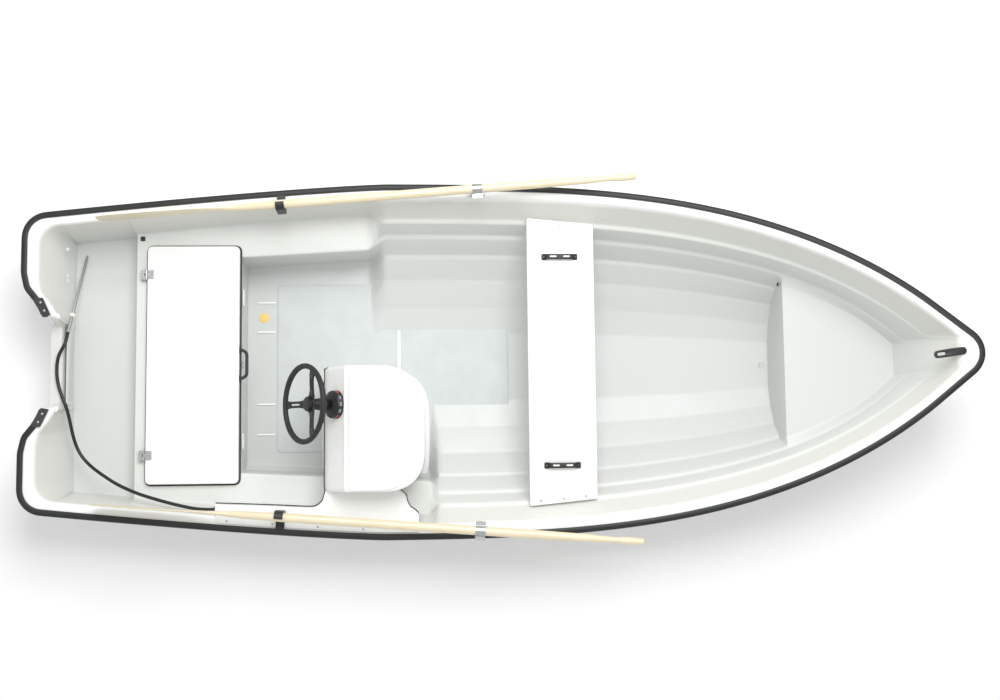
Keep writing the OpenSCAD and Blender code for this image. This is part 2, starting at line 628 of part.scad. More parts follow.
// ---- steering cable ----
cable_d = 16;
cable_route = [[-1352, -690, 425], [-1392, -690, 424], [-1452, -684, 418], [-1532, -667, 407],
    [-1600, -649, 395], [-1666, -630, 382], [-1729, -609, 366], [-1814, -573, 338],
    [-1886, -532, 310], [-1950, -488, 288], [-1994, -446, 276], [-2022, -402, 274],
    [-2038, -352, 286], [-2046, -300, 306], [-2052, -250, 327], [-2062, -202, 342],
    [-2082, -150, 344], [-2100, -92, 345], [-2107, -30, 347], [-2098, 36, 354],
    [-2068, 96, 359], [-2062, 150, 336]];
cable_steps = 3;                          // rings between two points of the route
cable_sides = 8;

function spline(p, i, t) = let(n = len(p), a = p[max(0, i - 1)], b = p[i], c = p[i + 1],
    d = p[min(n - 1, i + 2)])
    0.5*(2*b + (c - a)*t + (2*a - 5*b + 4*c - d)*t*t + (3*b - a - 3*c + d)*t*t*t);
function cable_points() = concat([for (i = [0:len(cable_route) - 2]) for (k = [0:cable_steps - 1])
    spline(cable_route, i, k/cable_steps)], [cable_route[len(cable_route) - 1]]);

module steering_cable() {
    p = cable_points();
    n = len(p);
    m = cable_sides;
    function dir(i) = unit(p[min(n - 1, i + 1)] - p[max(0, i - 1)]);
    points = [for (i = [0:n - 1]) let(u = unit(cross([0, 0, 1], dir(i))), v = cross(dir(i), u))
        for (k = [0:m - 1]) p[i] + cable_d/2*(u*cos(360*k/m) + v*sin(360*k/m))];
    walls = [for (i = [0:n - 2]) for (k = [0:m - 1]) let(a = i*m + k, b = i*m + (k + 1)%m)
        each [[a, a + m, b + m], [a, b + m, b]]];
    caps = [[for (k = [0:m - 1]) k], [for (k = [m - 1:-1:0]) (n - 1)*m + k]];
    color("#151617") polyhedron(points = points, faces = concat(walls, caps));
}
module cable_gland() {
    color("#1d1f20") translate(cable_route[0] + [gap, 0, 0]) rotate([0, 90, 0])
        cylinder(d = 30, h = 11.4);
}
// the cable's end: sleeve, nut and the sliding rod that would push the motor
rod_from = [-2062, 150, 336];
rod_to = [-2022, 548, 158.5];
sleeve_l = 86;
nut_l = 18;
rod_start = sleeve_l + nut_l + 1;         // where the rod leaves the nut
module along_rod(d) {
    v = rod_to - rod_from;
    translate(rod_from) rotate([0, acos(v[2]/norm(v)), atan2(v[1], v[0])]) translate([0, 0, d])
        children();
}
module cable_sleeve() { color("silver") along_rod(0.8) cylinder(d = 18, h = sleeve_l); }
module cable_nut() { color("white") along_rod(sleeve_l + 0.9) cylinder(d = 26, h = nut_l, $fn = 6); }
module cable_rod() {
    color("silver") along_rod(rod_start) union() {
        cylinder(d = 15, h = norm(rod_to - rod_from) - rod_start - 20);
        cylinder(d = 9, h = norm(rod_to - rod_from) - rod_start);
    }
}

// ---- drains and grommets ----
module floor_drain() {
    color("dimgray") translate([bench_x - 45, 0, floor_z + gap]) difference() {
        cylinder(d = 30, h = 3);
        translate([0, 0, 1]) cylinder(d = 18, h = 3);
    }
}
module bench_grommet() {
    color("#1d1f20") translate([bench_x - 13.2, 388, bench_z - 26]) rotate([0, -90, 0])
        cylinder(d = 20, h = 4);
}
module deck_drain() {
    color("#1d1f20") translate([ridge_x + 26, 616, deck_z + gap]) rounded_plate(22, 22, 3, 4);
}

hull_shell();
cockpit_liner();
rub_rail();
rail_end_port();
rail_end_starboard();
transom_pad();
locker_lid();
lid_hinge_port();
lid_hinge_starboard();
lid_leaf_port();
lid_leaf_starboard();
lid_handle();
locker_latch();
locker_vents();
middle_thwart();
thwart_handle_port();
thwart_handle_starboard();
bow_cleat();
bow_eye();
console();
helm_bezel();
helm_shaft();
steering_wheel();
wheel_hub();
rowlock_socket_port();
rowlock_socket_starboard();
oar_clamp_port();
oar_clamp_starboard();
oar_port();
oar_starboard();
oar_clip_port();
oar_clip_starboard();
cable_gland();
steering_cable();
cable_sleeve();
cable_nut();
cable_rod();
floor_drain();
bench_grommet();
deck_drain();
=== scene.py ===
import bpy
import bmesh
import math
import numpy as np
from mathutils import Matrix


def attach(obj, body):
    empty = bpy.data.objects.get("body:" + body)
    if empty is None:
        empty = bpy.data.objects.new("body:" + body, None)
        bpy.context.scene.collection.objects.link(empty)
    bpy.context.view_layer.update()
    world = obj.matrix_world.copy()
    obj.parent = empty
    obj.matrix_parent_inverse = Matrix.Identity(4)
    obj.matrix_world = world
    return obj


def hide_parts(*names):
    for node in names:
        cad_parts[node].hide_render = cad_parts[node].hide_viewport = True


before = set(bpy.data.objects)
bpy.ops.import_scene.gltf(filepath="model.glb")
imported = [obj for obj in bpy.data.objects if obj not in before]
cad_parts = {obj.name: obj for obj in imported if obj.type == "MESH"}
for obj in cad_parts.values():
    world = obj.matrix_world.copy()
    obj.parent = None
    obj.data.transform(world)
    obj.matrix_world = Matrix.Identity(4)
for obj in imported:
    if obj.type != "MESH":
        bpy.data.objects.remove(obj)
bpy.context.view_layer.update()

# ---- camera ----
# It hangs 6.45 m above the water, a little aft of the boat's middle and to starboard, and looks almost
# straight down.
camera = bpy.data.objects.new("camera", bpy.data.cameras.new("camera"))
bpy.context.scene.collection.objects.link(camera)
camera.location = (-0.3768, -0.4894, 6.45)
camera.rotation_euler = (0.0893, -0.0597, -0.0116)
camera.data.lens = 45.7
camera.data.sensor_width = 36
bpy.context.scene.camera = camera

# ---- steering cable ----
# A push-pull cable, a steel core in an extruded black jacket of 16 mm. It comes out of a gland at the
# end of the console's duct, drops into the motor well and swings round to the transom's middle.


def srgb(code, alpha=1.0):
    """A hex colour as linear light: each share c becomes ((c + 0.055)/1.055) to the power 2.4."""
    c = np.array([int(code[i:i + 2], 16)/255 for i in (1, 3, 5)])
    return tuple(np.where(c > 0.04045, ((c + 0.055)/1.055)**2.4, c/12.92)) + (alpha,)


def add(material, kind, settings=(), inputs=()):
    """Adds a node to a material. Settings are its properties; an input is a value or another node's output."""
    made = material.node_tree.nodes.new("ShaderNode" + kind)
    for key, value in dict(settings).items():
        setattr(made, key, value)
    for key, value in dict(inputs).items():
        if isinstance(value, bpy.types.NodeSocket):
            material.node_tree.links.new(value, made.inputs[key])
        else:
            made.inputs[key].default_value = value
    return made


def finish_of(name):
    """A new empty material with its output and one surface shader."""
    material = bpy.data.materials.new(name)
    material.use_nodes = True
    material.node_tree.nodes.clear()
    surface = add(material, "BsdfPrincipled")
    add(material, "OutputMaterial", inputs={"Surface": surface.outputs[0]})
    return material


def set_inputs(material, values):
    """Sets or links the sockets of a material's surface shader."""
    surface = material.node_tree.nodes["Principled BSDF"]
    for key, value in values.items():
        if isinstance(value, bpy.types.NodeSocket):
            material.node_tree.links.new(value, surface.inputs[key])
        else:
            surface.inputs[key].default_value = value


def ramp_colours(node, stops):
    """Gives a colour ramp its stops, each (place, hex colour)."""
    ramp = node.color_ramp
    while len(ramp.elements) < len(stops):
        ramp.elements.new(0.5)
    for element, (place, code) in zip(ramp.elements, stops):
        element.position = place
        element.color = srgb(code)
    return node.outputs[0]


def moulded(name, dark, light, rough, grain_mm, bump_mm, coat=0.0):
    """A moulded or painted skin: two near colours clouded by noise of 120 mm, and a fine bump of grain_mm."""
    material = finish_of(name)
    place = add(material, "TexCoord").outputs["Object"]
    cloud = add(material, "TexNoise", inputs={"Vector": place, "Scale": 1/0.12, "Detail": 3.0})
    grain = add(material, "TexNoise", inputs={"Vector": place, "Scale": 1000/grain_mm, "Detail": 2.0})
    tint = ramp_colours(add(material, "ValToRGB", inputs={"Fac": cloud.outputs[0]}),
                        [(0.35, dark), (0.65, light)])
    spread = add(material, "MapRange", inputs={"Value": cloud.outputs[0], "From Min": 0.3, "From Max": 0.7,
                                               "To Min": rough - 0.04, "To Max": rough + 0.04})
    bump = add(material, "Bump", inputs={"Height": grain.outputs[0], "Strength": 0.4,
                                         "Distance": bump_mm/1000})
    set_inputs(material, {"Base Color": tint, "Roughness": spread.outputs[0],
                          "Normal": bump.outputs[0], "Coat Weight": coat,
                          "Coat Roughness": 0.12})
    return material


def unit(v):
    """Vectors along the last axis, each divided by its length."""
    return v/np.maximum(np.linalg.norm(v, axis=-1, keepdims=True), 1e-9)


def grid_faces(rows, columns, around=True, ends=True, first=0):
    """Faces of a grid of points: a quad between each four neighbours, around to the first column, and a cap
    at each end."""
    i, j = np.meshgrid(np.arange(rows - 1), np.arange(columns if around else columns - 1), indexing="ij")
    a, b = first + i*columns + j, first + i*columns + (j + 1) % columns
    faces = np.stack([a, b, b + columns, a + columns], -1).reshape(-1, 4).tolist()
    if ends:
        faces += [(first + np.arange(columns))[::-1].tolist(),
                  (first + (rows - 1)*columns + np.arange(columns)).tolist()]
    return faces


def piece(name, grids, body, material, crease=35, stands_for=(), slot=None, faces=None):
    """One object from grids of points in millimetres, each (rows, columns, 3) or (points, around, ends), with
    the grids' own faces or given ones. Doubles are merged, faces are turned outwards, and edges sharper than
    crease degrees stay sharp."""
    verts, grid_quads, first = [], [], 0
    for g in grids:
        points, around, ends = g if isinstance(g, tuple) else (g, True, True)
        rows, columns = points.shape[:2]
        grid_quads += grid_faces(rows, columns, around, ends, first)
        verts.append(np.asarray(points, float).reshape(-1, 3)*0.001)
        first += rows*columns
    mesh = bpy.data.meshes.new(name)
    mesh.from_pydata(np.concatenate(verts).tolist(), [], faces or grid_quads)
    work = bmesh.new()
    work.from_mesh(mesh)
    bmesh.ops.remove_doubles(work, verts=work.verts, dist=2e-6)
    bmesh.ops.recalc_face_normals(work, faces=work.faces)
    work.to_mesh(mesh)
    work.free()
    mesh.polygons.foreach_set("use_smooth", np.ones(len(mesh.polygons), bool))
    mesh.set_sharp_from_angle(angle=math.radians(crease))
    made = bpy.data.objects.new(name, mesh)
    bpy.context.scene.collection.objects.link(made)
    mesh.materials.append(material)
    if body:
        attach(made, body)
    if stands_for:
        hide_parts(*stands_for)
    return made


def spline(route, steps):
    """A smooth curve through the points of a route: on each span the cubic whose slopes are half the step
    between the neighbours on either side."""
    p = np.array(route, float)
    p = np.concatenate([p[:1], p, p[-1:]])
    a, b, c, d = p[:-3, None], p[1:-2, None], p[2:-1, None], p[3:, None]
    t = (np.arange(steps)/steps)[None, :, None]
    line = 0.5*(2*b + (c - a)*t + (2*a - 5*b + 4*c - d)*t**2 + (3*b - a - 3*c + d)*t**3)
    return np.concatenate([line.reshape(-1, 3), p[-1:]])


def tube(path, radius, sides, up=(0, 0, 1), closed=False):
    """Rings round a path: each is a circle across the path's direction, set out from the direction up."""
    p = np.asarray(path, float)
    if closed:
        along = unit(np.roll(p, -1, 0) - np.roll(p, 1, 0))
    else:
        along = unit(np.gradient(p, axis=0))
    u = unit(np.cross(np.array(up, float), along))
    v = np.cross(along, u)
    turn = 2*np.pi*np.arange(sides)/sides
    r = np.broadcast_to(np.asarray(radius, float), len(p))[:, None, None]
    return p[:, None] + r*(u[:, None]*np.cos(turn)[None, :, None] + v[:, None]*np.sin(turn)[None, :, None])


cable_route = [(-1352, -690, 425), (-1392, -690, 424), (-1452, -684, 418), (-1532, -667, 407),
               (-1600, -649, 395), (-1666, -630, 382), (-1729, -609, 366), (-1814, -573, 338),
               (-1886, -532, 310), (-1950, -488, 288), (-1994, -446, 276), (-2022, -402, 274),
               (-2038, -352, 286), (-2046, -300, 306), (-2052, -250, 327), (-2062, -202, 342),
               (-2082, -150, 344), (-2100, -92, 345), (-2107, -30, 347), (-2098, 36, 354),
               (-2068, 96, 359), (-2062, 150, 336)]
cable_line = spline(cable_route, 6)

# Extruded PVC, slightly glossy where it has been wiped, with faint draw lines along it.
jacket = moulded("extruded_pvc_jacket", "#141516", "#1e2021", 0.38, 2.0, 0.1)
cable = piece("steering_cable_jacket", [tube(cable_line, 8, 16)], "boat", jacket,
              stands_for=("steering_cable",), slot="cable_jacket")


def placed(points, origin, x, y, z):
    """Points given along three directions x, y and z, moved to origin."""
    p = np.asarray(points, float)
    return np.array(origin, float) + p[..., :1]*np.array(x) + p[..., 1:2]*np.array(y) + p[..., 2:]*np.array(z)


def axes_along(direction):
    """Three directions at right angles whose third points along direction."""
    z = unit(np.array(direction, float))
    x = unit(np.cross((0, 0, 1), z)) if abs(z[2]) < 0.9 else np.array((1.0, 0, 0))
    return x, np.cross(z, x), z


def lathe(profile, sides=48):
    """A turned shape about z: each (distance along, radius) of the profile becomes a ring."""
    q = np.array(profile, float)
    turn = 2*np.pi*np.arange(sides)/sides
    return np.stack([q[:, 1:]*np.cos(turn), q[:, 1:]*np.sin(turn), np.repeat(q[:, :1], sides, 1)], -1)


# The cable's end: a crimped steel sleeve, a white nylon nut and the bright sliding rod with its eye.
rod_from, rod_to = np.array((-2062, 150, 336.0)), np.array((-2022, 548, 158.5))
rod_axes = axes_along(rod_to - rod_from)
rod_length = np.linalg.norm(rod_to - rod_from)


def brushed(name, dark, light, rough, line_mm):
    """Bare metal with fine lines line_mm apart that vary its roughness and colour a little."""
    material = finish_of(name)
    place = add(material, "TexCoord").outputs["Object"]
    lines = add(material, "TexNoise", inputs={"Vector": place, "Scale": 1000/line_mm, "Detail": 4.0})
    tint = ramp_colours(add(material, "ValToRGB", inputs={"Fac": lines.outputs[0]}),
                        [(0.3, dark), (0.7, light)])
    spread = add(material, "MapRange", inputs={"Value": lines.outputs[0], "From Min": 0.3, "From Max": 0.7,
                                               "To Min": rough - 0.07, "To Max": rough + 0.07})
    bump = add(material, "Bump", inputs={"Height": lines.outputs[0], "Strength": 0.15, "Distance": 0.0002})
    set_inputs(material, {"Base Color": tint, "Roughness": spread.outputs[0], "Metallic": 1.0,
                          "Normal": bump.outputs[0]})
    return material


# Stainless steel from the mill, brushed and then handled: soft broken reflections.
stainless = brushed("brushed_stainless_steel", "#a9abab", "#cfd1d0", 0.3, 3.0)
# Moulded nylon, milky white with a satin skin.
nylon = moulded("moulded_white_nylon", "#e6e6e0", "#f2f2ee", 0.45, 1.5, 0.05)

sleeve = piece("cable_sleeve_crimped", [placed(lathe([
    (0.9, 0), (0.9, 8.4), (1.6, 9), (12, 9), (12.6, 8.2), (15, 8.2), (15.6, 9), (19, 9), (19.6, 8.2),
    (22, 8.2), (22.6, 9), (60, 9), (60.6, 8.3), (85.4, 8.3), (86.6, 7.4), (86.6, 0)]), rod_from, *rod_axes)],
    "boat", stainless, stands_for=("cable_sleeve",), slot="stainless_steel")
nut = piece("cable_nut_nylon", [placed(lathe([(87, 0), (87, 11.6), (88.4, 13), (103.4, 13), (104.8, 11.6),
    (104.8, 0)], 6), rod_from, *rod_axes)], "boat", nylon, crease=25,
    stands_for=("cable_nut",), slot="white_nylon")
rod = piece("cable_rod_bright", [placed(lathe([
    (105.1, 0), (105.1, 7.4), (106, 7.5), (190, 7.5), (190.6, 6.9), (193, 6.9), (193.6, 7.5),
    (rod_length - 21, 7.5), (rod_length - 20, 6.6), (rod_length - 19.6, 4.5), (rod_length - 1, 4.5),
    (rod_length, 3.6), (rod_length, 0)]), rod_from, *rod_axes)],
    "boat", stainless, stands_for=("cable_rod",), slot="stainless_steel")

# ---- hull ----
# The outer moulding: glass fibre in polyester with a white gelcoat, lapped strakes down each side, a raked
# stem, full stern quarters either side of the motor notch, and a narrow moulded keel.
deck_z, well_z, bench_z, floor_z, transom_z, low_z = 250, 150, 240, -30, 330, 450
x_tip, wide_x, low_x, gun_b, bench_x, deck_x = 2227, -545, -300, 822, 1420, 2110
stem_r, run_x, run_b, run_slope = 109, 2020, 224.7, 0.84
corner_x = -2127
hull_drop = 5.3  # the hull's edge below the liner's


def ramp(a, b, x):
    """0 before a, 1 after b, and straight between."""
    return np.clip((np.asarray(x, float) - a)/(b - a), 0, 1)


def sheer(x):
    """Height of the gunwale: low_z at its low point, rising as the square of the distance to stem and stern."""
    fore, aft = 230*((x - low_x)/(x_tip - low_x))**2, 10*((low_x - x)/(low_x + x_tip))**2
    return low_z + np.where(x > low_x, fore, aft)


def half_beam(x):
    """Half breadth at the gunwale: a power curve, a straight run into a stem rounded to stem_r, and a gentle
    taper towards the stern."""
    fore = gun_b*np.clip(1 - ramp(wide_x, x_tip, x)**3.05, 0, 1)**0.833
    touch_x = x_tip - stem_r + stem_r*run_slope/math.hypot(1, run_slope)
    round_bow = np.sqrt(np.clip(stem_r**2 - (x - x_tip + stem_r)**2, 12**2, None))
    fore = np.where(x < run_x, fore, np.where(x < touch_x, run_b - run_slope*(x - run_x), round_bow))
    return np.where(x > wide_x, fore, gun_b - 148*(np.clip(wide_x - x, 0, None)/1700)**1.277)


def bottom(x):
    """Height of the hull's bottom beside the keel."""
    return -120 + 100*ramp(500, x_tip, x)**2.5 + 25*ramp(-900, -x_tip, x)**2


def lean(x, s):
    """How far a point at depth share s lies aft of the gunwale, since the stem is raked."""
    return 300*np.clip(s, 0, None)**1.2*ramp(bench_x, x_tip, x)**1.5


# Control points of half the plan, from the transom's middle round the quarter: x, y, top height, share of the
# quarter's slope, share of the strake step
arc_turn = np.radians(np.linspace(180, 90, 9))
arc_y = half_beam(corner_x)
plan = [(-2140, 0, transom_z, 0, 0), (-2140, 196, transom_z, 0, 0.33), (-2120, 214, sheer(-2120), 0.3, 0.36),
        (-2170, 300, sheer(-2170), 1, 0.5), (-2212, 352, sheer(-2212), 1, 0.59),
        (-2227, 420, sheer(-2227), 1, 0.7), (-2227, 500, sheer(-2227), 1, 0.83)]
plan += [(corner_x + 100*math.cos(a), arc_y - 100 + 100*math.sin(a), sheer(corner_x + 100*math.cos(a)),
          float(ramp(corner_x + 50, corner_x - 40, corner_x + 100*math.cos(a))), 1) for a in arc_turn]
plan += [(corner_x + 60, half_beam(corner_x + 60), sheer(corner_x + 60), 0, 1)]
plan = np.array([[float(v) for v in row] for row in plan])


def close_points(rows, step):
    """Points every step along straight lines between rows, all of their columns in proportion."""
    length = np.concatenate([[0], np.cumsum(np.linalg.norm(np.diff(rows[:, :2], axis=0), axis=1))])
    at = np.linspace(0, length[-1], max(2, int(length[-1]/step)))
    return np.stack([np.interp(at, length, column) for column in rows.T], -1)


def softened(rows, reach):
    """A running mean over reach points on either side, so that corners turn into small curves."""
    padded = np.concatenate([np.repeat(rows[:1], reach, 0), rows, np.repeat(rows[-1:], reach, 0)])
    kernel = np.hanning(2*reach + 3)[1:-1]
    return np.stack([np.convolve(c, kernel/kernel.sum(), "valid") for c in padded.T], -1)


stern = softened(close_points(plan, 6.0), 3)
stern[0, 1] = 0
tip_stations = x_tip - np.array([6, 4, 2.5, 1.2, 0])
side_stations = np.concatenate([np.arange(-2050, 1900, 25), np.arange(1900, x_tip - 8, 9), tip_stations])
side_columns = np.stack([side_stations, half_beam(side_stations), sheer(side_stations),
                         side_stations*0, side_stations*0 + 1], -1)
loop = np.concatenate([stern[:-1], side_columns])
n_stern = len(stern) - 1


def both_sides(half):
    """A closed loop from the port half: its points mirrored to starboard, less the shared one in the middle."""
    return np.concatenate([half, half[:0:-1]*np.array((1, -1, 1))])


def hull_ring(f, s, inset, t):
    """A loop of the hull at half-breadth share f and depth share s, stepped in by inset, t within the skin."""
    x, b, top, slope, step = loop.T
    z0 = top - hull_drop
    fine = 1 + 1.2*ramp(500, x_tip, x)**2
    y = np.maximum(np.minimum(b, 8), b*f**fine - inset*step*ramp(20, 200, b))
    end = np.where(x > 0, -1.6*t*ramp(1700, x_tip, x), t*1.5*ramp(-2050, -2110, x))
    y = np.where(b > 0, np.maximum(2, y - t), 0)
    z = z0 - s*(z0 - bottom(x)) + t*s**0.5
    return both_sides(np.stack([x - lean(x, s) + end + 55*s*slope, y, z], -1))


def keel_ring(w, dz, t):
    """A loop of the keel of half breadth w, dz below the bottom."""
    x = loop[:, 0]
    v = np.minimum(np.arange(len(x))/n_stern, 1)
    aft = np.arange(len(x)) < n_stern
    xx = np.where(aft, -2085 + 22 - w + t*1.5 + 45*v, x - lean(x, 1) - (1.6*t + 22 - w)*ramp(1700, x_tip, x))
    yy = np.where(aft, w*v, w*(1 - 0.5*ramp(1500, x_tip, x)))
    zz = bottom(np.where(aft, -2140, x)) + dz*(1 - 0.6*ramp(1200, x_tip, x))
    return both_sides(np.stack([xx, yy, zz], -1))


hull_sec = [(1, 0), (0.978, 0.25), (0.94, 0.48), (0.875, 0.67), (0.74, 0.83), (0.46, 0.945)]
outer = [hull_ring(1, 0, 0, 0)]
for (f0, s0), (f1, s1) in zip(hull_sec[:-1], hull_sec[1:]):
    first_inset = 0 if s0 == 0 else 8
    for t in (0.12, 0.4, 0.7, 0.92, 1.0):
        belly = 0.008*math.sin(math.pi*t)
        outer.append(hull_ring(f0 + (f1 - f0)*t + belly, s0 + 0.008*(s0 > 0) + (s1 - s0 - 0.008*(s0 > 0))*t,
                               first_inset*(1 - t), 0))
    outer.append(hull_ring(f1, s1 + 0.003, 3, 0))
    outer.append(hull_ring(f1, s1 + 0.008, 8, 0))
inner = [hull_ring(f, s, 0 if s == 0 else 8, 6) for f, s in hull_sec]
keel = [keel_ring(22, 0, 0), keel_ring(18, -26, 0), keel_ring(16, -29, 0), keel_ring(8, -30, 0)]
keel_inner = [keel_ring(14, 6, 6), keel_ring(6, 6, 6)]


def strip_cap(row, count):
    """The two half loops of a row joined across the middle: each port point faces its starboard twin."""
    half = (count + 1)//2
    i = np.arange(1, half - 1)
    quads = np.stack([row + i, row + i + 1, row + count - i - 1, row + count - i], -1)
    return [[row, row + 1, row + count - 1]] + quads.tolist()


def ring_shell(name, rings, *args, **keys):
    """A closed wall from loops: one skin from the middle out, then the other, closed across the middle."""
    points = np.stack(rings)
    rows, count = points.shape[:2]
    faces = grid_faces(rows, count, True, False)
    faces += strip_cap(0, count) + strip_cap((rows - 1)*count, count)
    return piece(name, [points], *args, faces=faces, **keys)


# Gelcoat sprayed in a polished mould: a hard white skin with a slight orange-peel and soft reflections.
gelcoat = moulded("polished_white_gelcoat", "#eff0ee", "#f3f4f2", 0.28, 14.0, 0.004, coat=0.2)
hull = ring_shell("hull_moulding", keel_inner[::-1] + inner[::-1] + outer + keel, "boat", gelcoat, crease=30,
                  stands_for=("hull_shell",), slot="gelcoat")

# ---- inner liner ----
# The second moulding, bonded inside the hull at the gunwale: flange, lapped inner sides, motor well, helm
# seat deck with its locker, side shelves, cockpit floor, bow bench and bow plate, with well rounded corners.
well_front, ridge_x, tub_aft, tub_fore, face_x = -1777, -1760, -1676, -1296, -1264
port_shelf_x, starboard_shelf_x, inner_wall_x = -655, -350, -2080
liner_sec = [(0.905, 0.27), (0.83, 0.5), (0.72, 0.7), (0.57, 0.85), (0.41, 0.94)]


def lapped(b, zs):
    """Lapped strakes from the flange to the floor: each share of breadth and depth is an edge and its step."""
    w = np.maximum(b - 46, 0.6*b)
    rows = []
    deep = zs - floor_z
    for f, s in liner_sec:
        rows += [(w*f, zs - s*deep), (0.98*w*f - 9*ramp(60, 400, b), zs - (s + 0.012)*deep)]
    return rows + [(w*0.22, floor_z), (np.minimum(30, w*0.1), floor_z)]


def level(b, z, inner_edge, drop, count):
    """A steep side down to a level, flat to inner_edge, then drop to a lower flat."""
    rows = [(b - 86, z + 9), (b - 94, z), (inner_edge + 6, z), (inner_edge, z - drop)]
    return rows + [(y, z - drop) for y in np.linspace(inner_edge, 30, count + 1)[1:]]


def shelf(b, x, z):
    """A side shelf that widens aft, its rounded edge, and the wall down to the floor."""
    y = 522 + 0.056*(x - face_x)
    rows = [(b - 86, z + 9), (b - 94, z), (y + 6, z), (y, z - 8), (y - 10, floor_z + 30), (y - 40, floor_z)]
    return rows + [(y - 40 - (y - 70)*k/6, floor_z) for k in range(1, 7)]


def corners_at(rows, b):
    """Section corners (y, z) as one array by corner and station, single values repeated at every station."""
    return np.stack([np.stack([y + 0*b, z + 0*b], -1) for y, z in rows])


def benched(rows):
    """The lapped sides cut off at the bench's level: what lies under it turns into points across the bench,
    3 mm apart, from where the sides meet it."""
    y, z = rows[..., 0], rows[..., 1]
    under = z < bench_z
    k = np.argmax(under, 0)
    station = np.arange(y.shape[1])
    ya, yb, za, zb = y[k - 1, station], y[k, station], z[k - 1, station], z[k, station]
    meet = ya + (yb - ya)*(za - bench_z)/(za - zb)
    y = np.where(under, np.minimum(y, meet - 3*(np.arange(len(rows))[:, None] - k)), y)
    return np.stack([y, np.where(under, bench_z, z)], -1)


def liner_profile(x, side, zone):
    """The section of the liner at x: fifteen (y, z) corners from the gunwale to the middle, for one zone of
    the boat."""
    x = np.asarray(x, float)
    b, zs = half_beam(x), sheer(x)
    foredeck = zone == "foredeck"
    rim = [(b, zs), (np.maximum(b - 38, 0.75*b), zs + 3),
           (np.maximum(b - 46, 0.65*b), zs + 3 if foredeck else zs - 8)]
    if zone == "well":
        rows = level(b, well_z, 430, 0, 8)
    elif zone == "deck":
        rows = level(b, deck_z, 546, 0, 8)
    elif zone == "tub":
        rows = level(b, deck_z, 546, 190, 8)
    elif zone == "shelf":
        rows = shelf(b, x, deck_z)
    elif foredeck:
        rows = [(y, zs + 2) for y, _ in lapped(b, zs)]
    else:
        rows = lapped(b, zs)
    rows = corners_at(rows, b)
    if zone == "bench":
        rows = benched(rows)
    return np.concatenate([corners_at(rim, b), rows]).swapaxes(0, 1)


def rounded_section(rows, reach):
    """Each corner becomes four points on a small curve that starts reach before it, or 0.42 of the side."""
    back, ahead = rows[..., :-2, :] - rows[..., 1:-1, :], rows[..., 2:, :] - rows[..., 1:-1, :]
    lb, la = (np.linalg.norm(v, axis=-1, keepdims=True) for v in (back, ahead))
    a = rows[..., 1:-1, :] + back*np.minimum(0.42, reach/np.maximum(lb, 1e-6))
    c = rows[..., 1:-1, :] + ahead*np.minimum(0.42, reach/np.maximum(la, 1e-6))
    t = np.linspace(0, 1, 4)[:, None]
    curve = (1 - t)**2*a[..., None, :] + 2*t*(1 - t)*rows[..., 1:-1, None, :] + t*t*c[..., None, :]
    curve = curve.reshape(*rows.shape[:-2], -1, rows.shape[-1])
    return np.concatenate([rows[..., :1, :], curve, rows[..., -1:, :]], -2)


def zone_edges(side):
    """The liner's zones from aft to fore, with the width of the change between each two."""
    shelf_end = port_shelf_x if side > 0 else starboard_shelf_x
    blend = 100 if side > 0 else 50
    return [("well", well_front, ridge_x), ("deck", tub_aft - 8, tub_aft), ("tub", tub_fore, tub_fore + 8),
            ("deck", face_x - 12, face_x), ("shelf", shelf_end, shelf_end + blend),
            ("sides", bench_x - 12, bench_x), ("bench", deck_x - 10, deck_x + 35), ("foredeck", 9999, 9999)]


def liner_side(side, stations):
    """Rounded sections at all stations of one side, each zone passing smoothly into the next."""
    edges = zone_edges(side)
    section = rounded_section(liner_profile(stations, side, edges[0][0]), 9)
    for (_, a, b), (zone, _, _) in zip(edges[:-1], edges[1:]):
        t = ramp(a, b, stations)
        t = (t*t*(3 - 2*t))[:, None, None]
        section = section*(1 - t) + rounded_section(liner_profile(stations, side, zone), 9)*t
    return section


changes = np.concatenate([np.linspace(a, b, 7) for s in (1, -1) for _, a, b in zone_edges(s)[:-1]])
stations = np.unique(np.round(np.concatenate([
    [corner_x + 60], np.arange(-2050, 1900, 25), changes, np.arange(1900, x_tip - 8, 8), tip_stations]), 1))
stations = stations[(stations >= corner_x + 60) & (stations <= x_tip)]
keep = np.concatenate([[True], np.diff(stations) > 0.7])
stations = stations[keep]


def liner_half(side):
    """Half the liner as rows along the plan and columns from the gunwale to the middle: the stern part first,
    whose inner wall runs across behind the transom, then the sides."""
    sections = liner_side(side, stations)
    s = (sheer(stations)[:, None] - sections[..., 1])/(sheer(stations) - floor_z)[:, None]
    k = np.linspace(0, 14, sections.shape[1])
    x = stations[:, None] - lean(stations[:, None], s) - 1.2*k*ramp(2100, x_tip, stations)[:, None]
    fore = np.stack([x, side*sections[..., 0], sections[..., 1]], -1)
    edge_x, edge_y, top = stern[:-1, :3].T
    share = edge_y/half_beam(corner_x)
    raw = liner_profile(stations[:1], side, "well")[0]
    index = np.arange(len(edge_x))/len(edge_x)*12
    corners = np.zeros((len(edge_x), 15, 3))
    corners[:, 0] = np.stack([edge_x, side*edge_y, top], -1)
    for j, flange, rise in ((1, 45, 3), (2, 53, -8)):
        inner_x = np.maximum(np.minimum(edge_x + flange, inner_wall_x + index), edge_x + 15)
        corners[:, j] = np.stack([inner_x, side*share*raw[j, 0], top + rise], -1)
    for j in range(3, 15):
        foot = well_z + (9 if j == 3 else 0) + 0*index
        corners[:, j] = np.stack([inner_wall_x + 0.4*(index + j), side*share*raw[j, 0], foot], -1)
    return np.concatenate([rounded_section(corners, 9), fore])


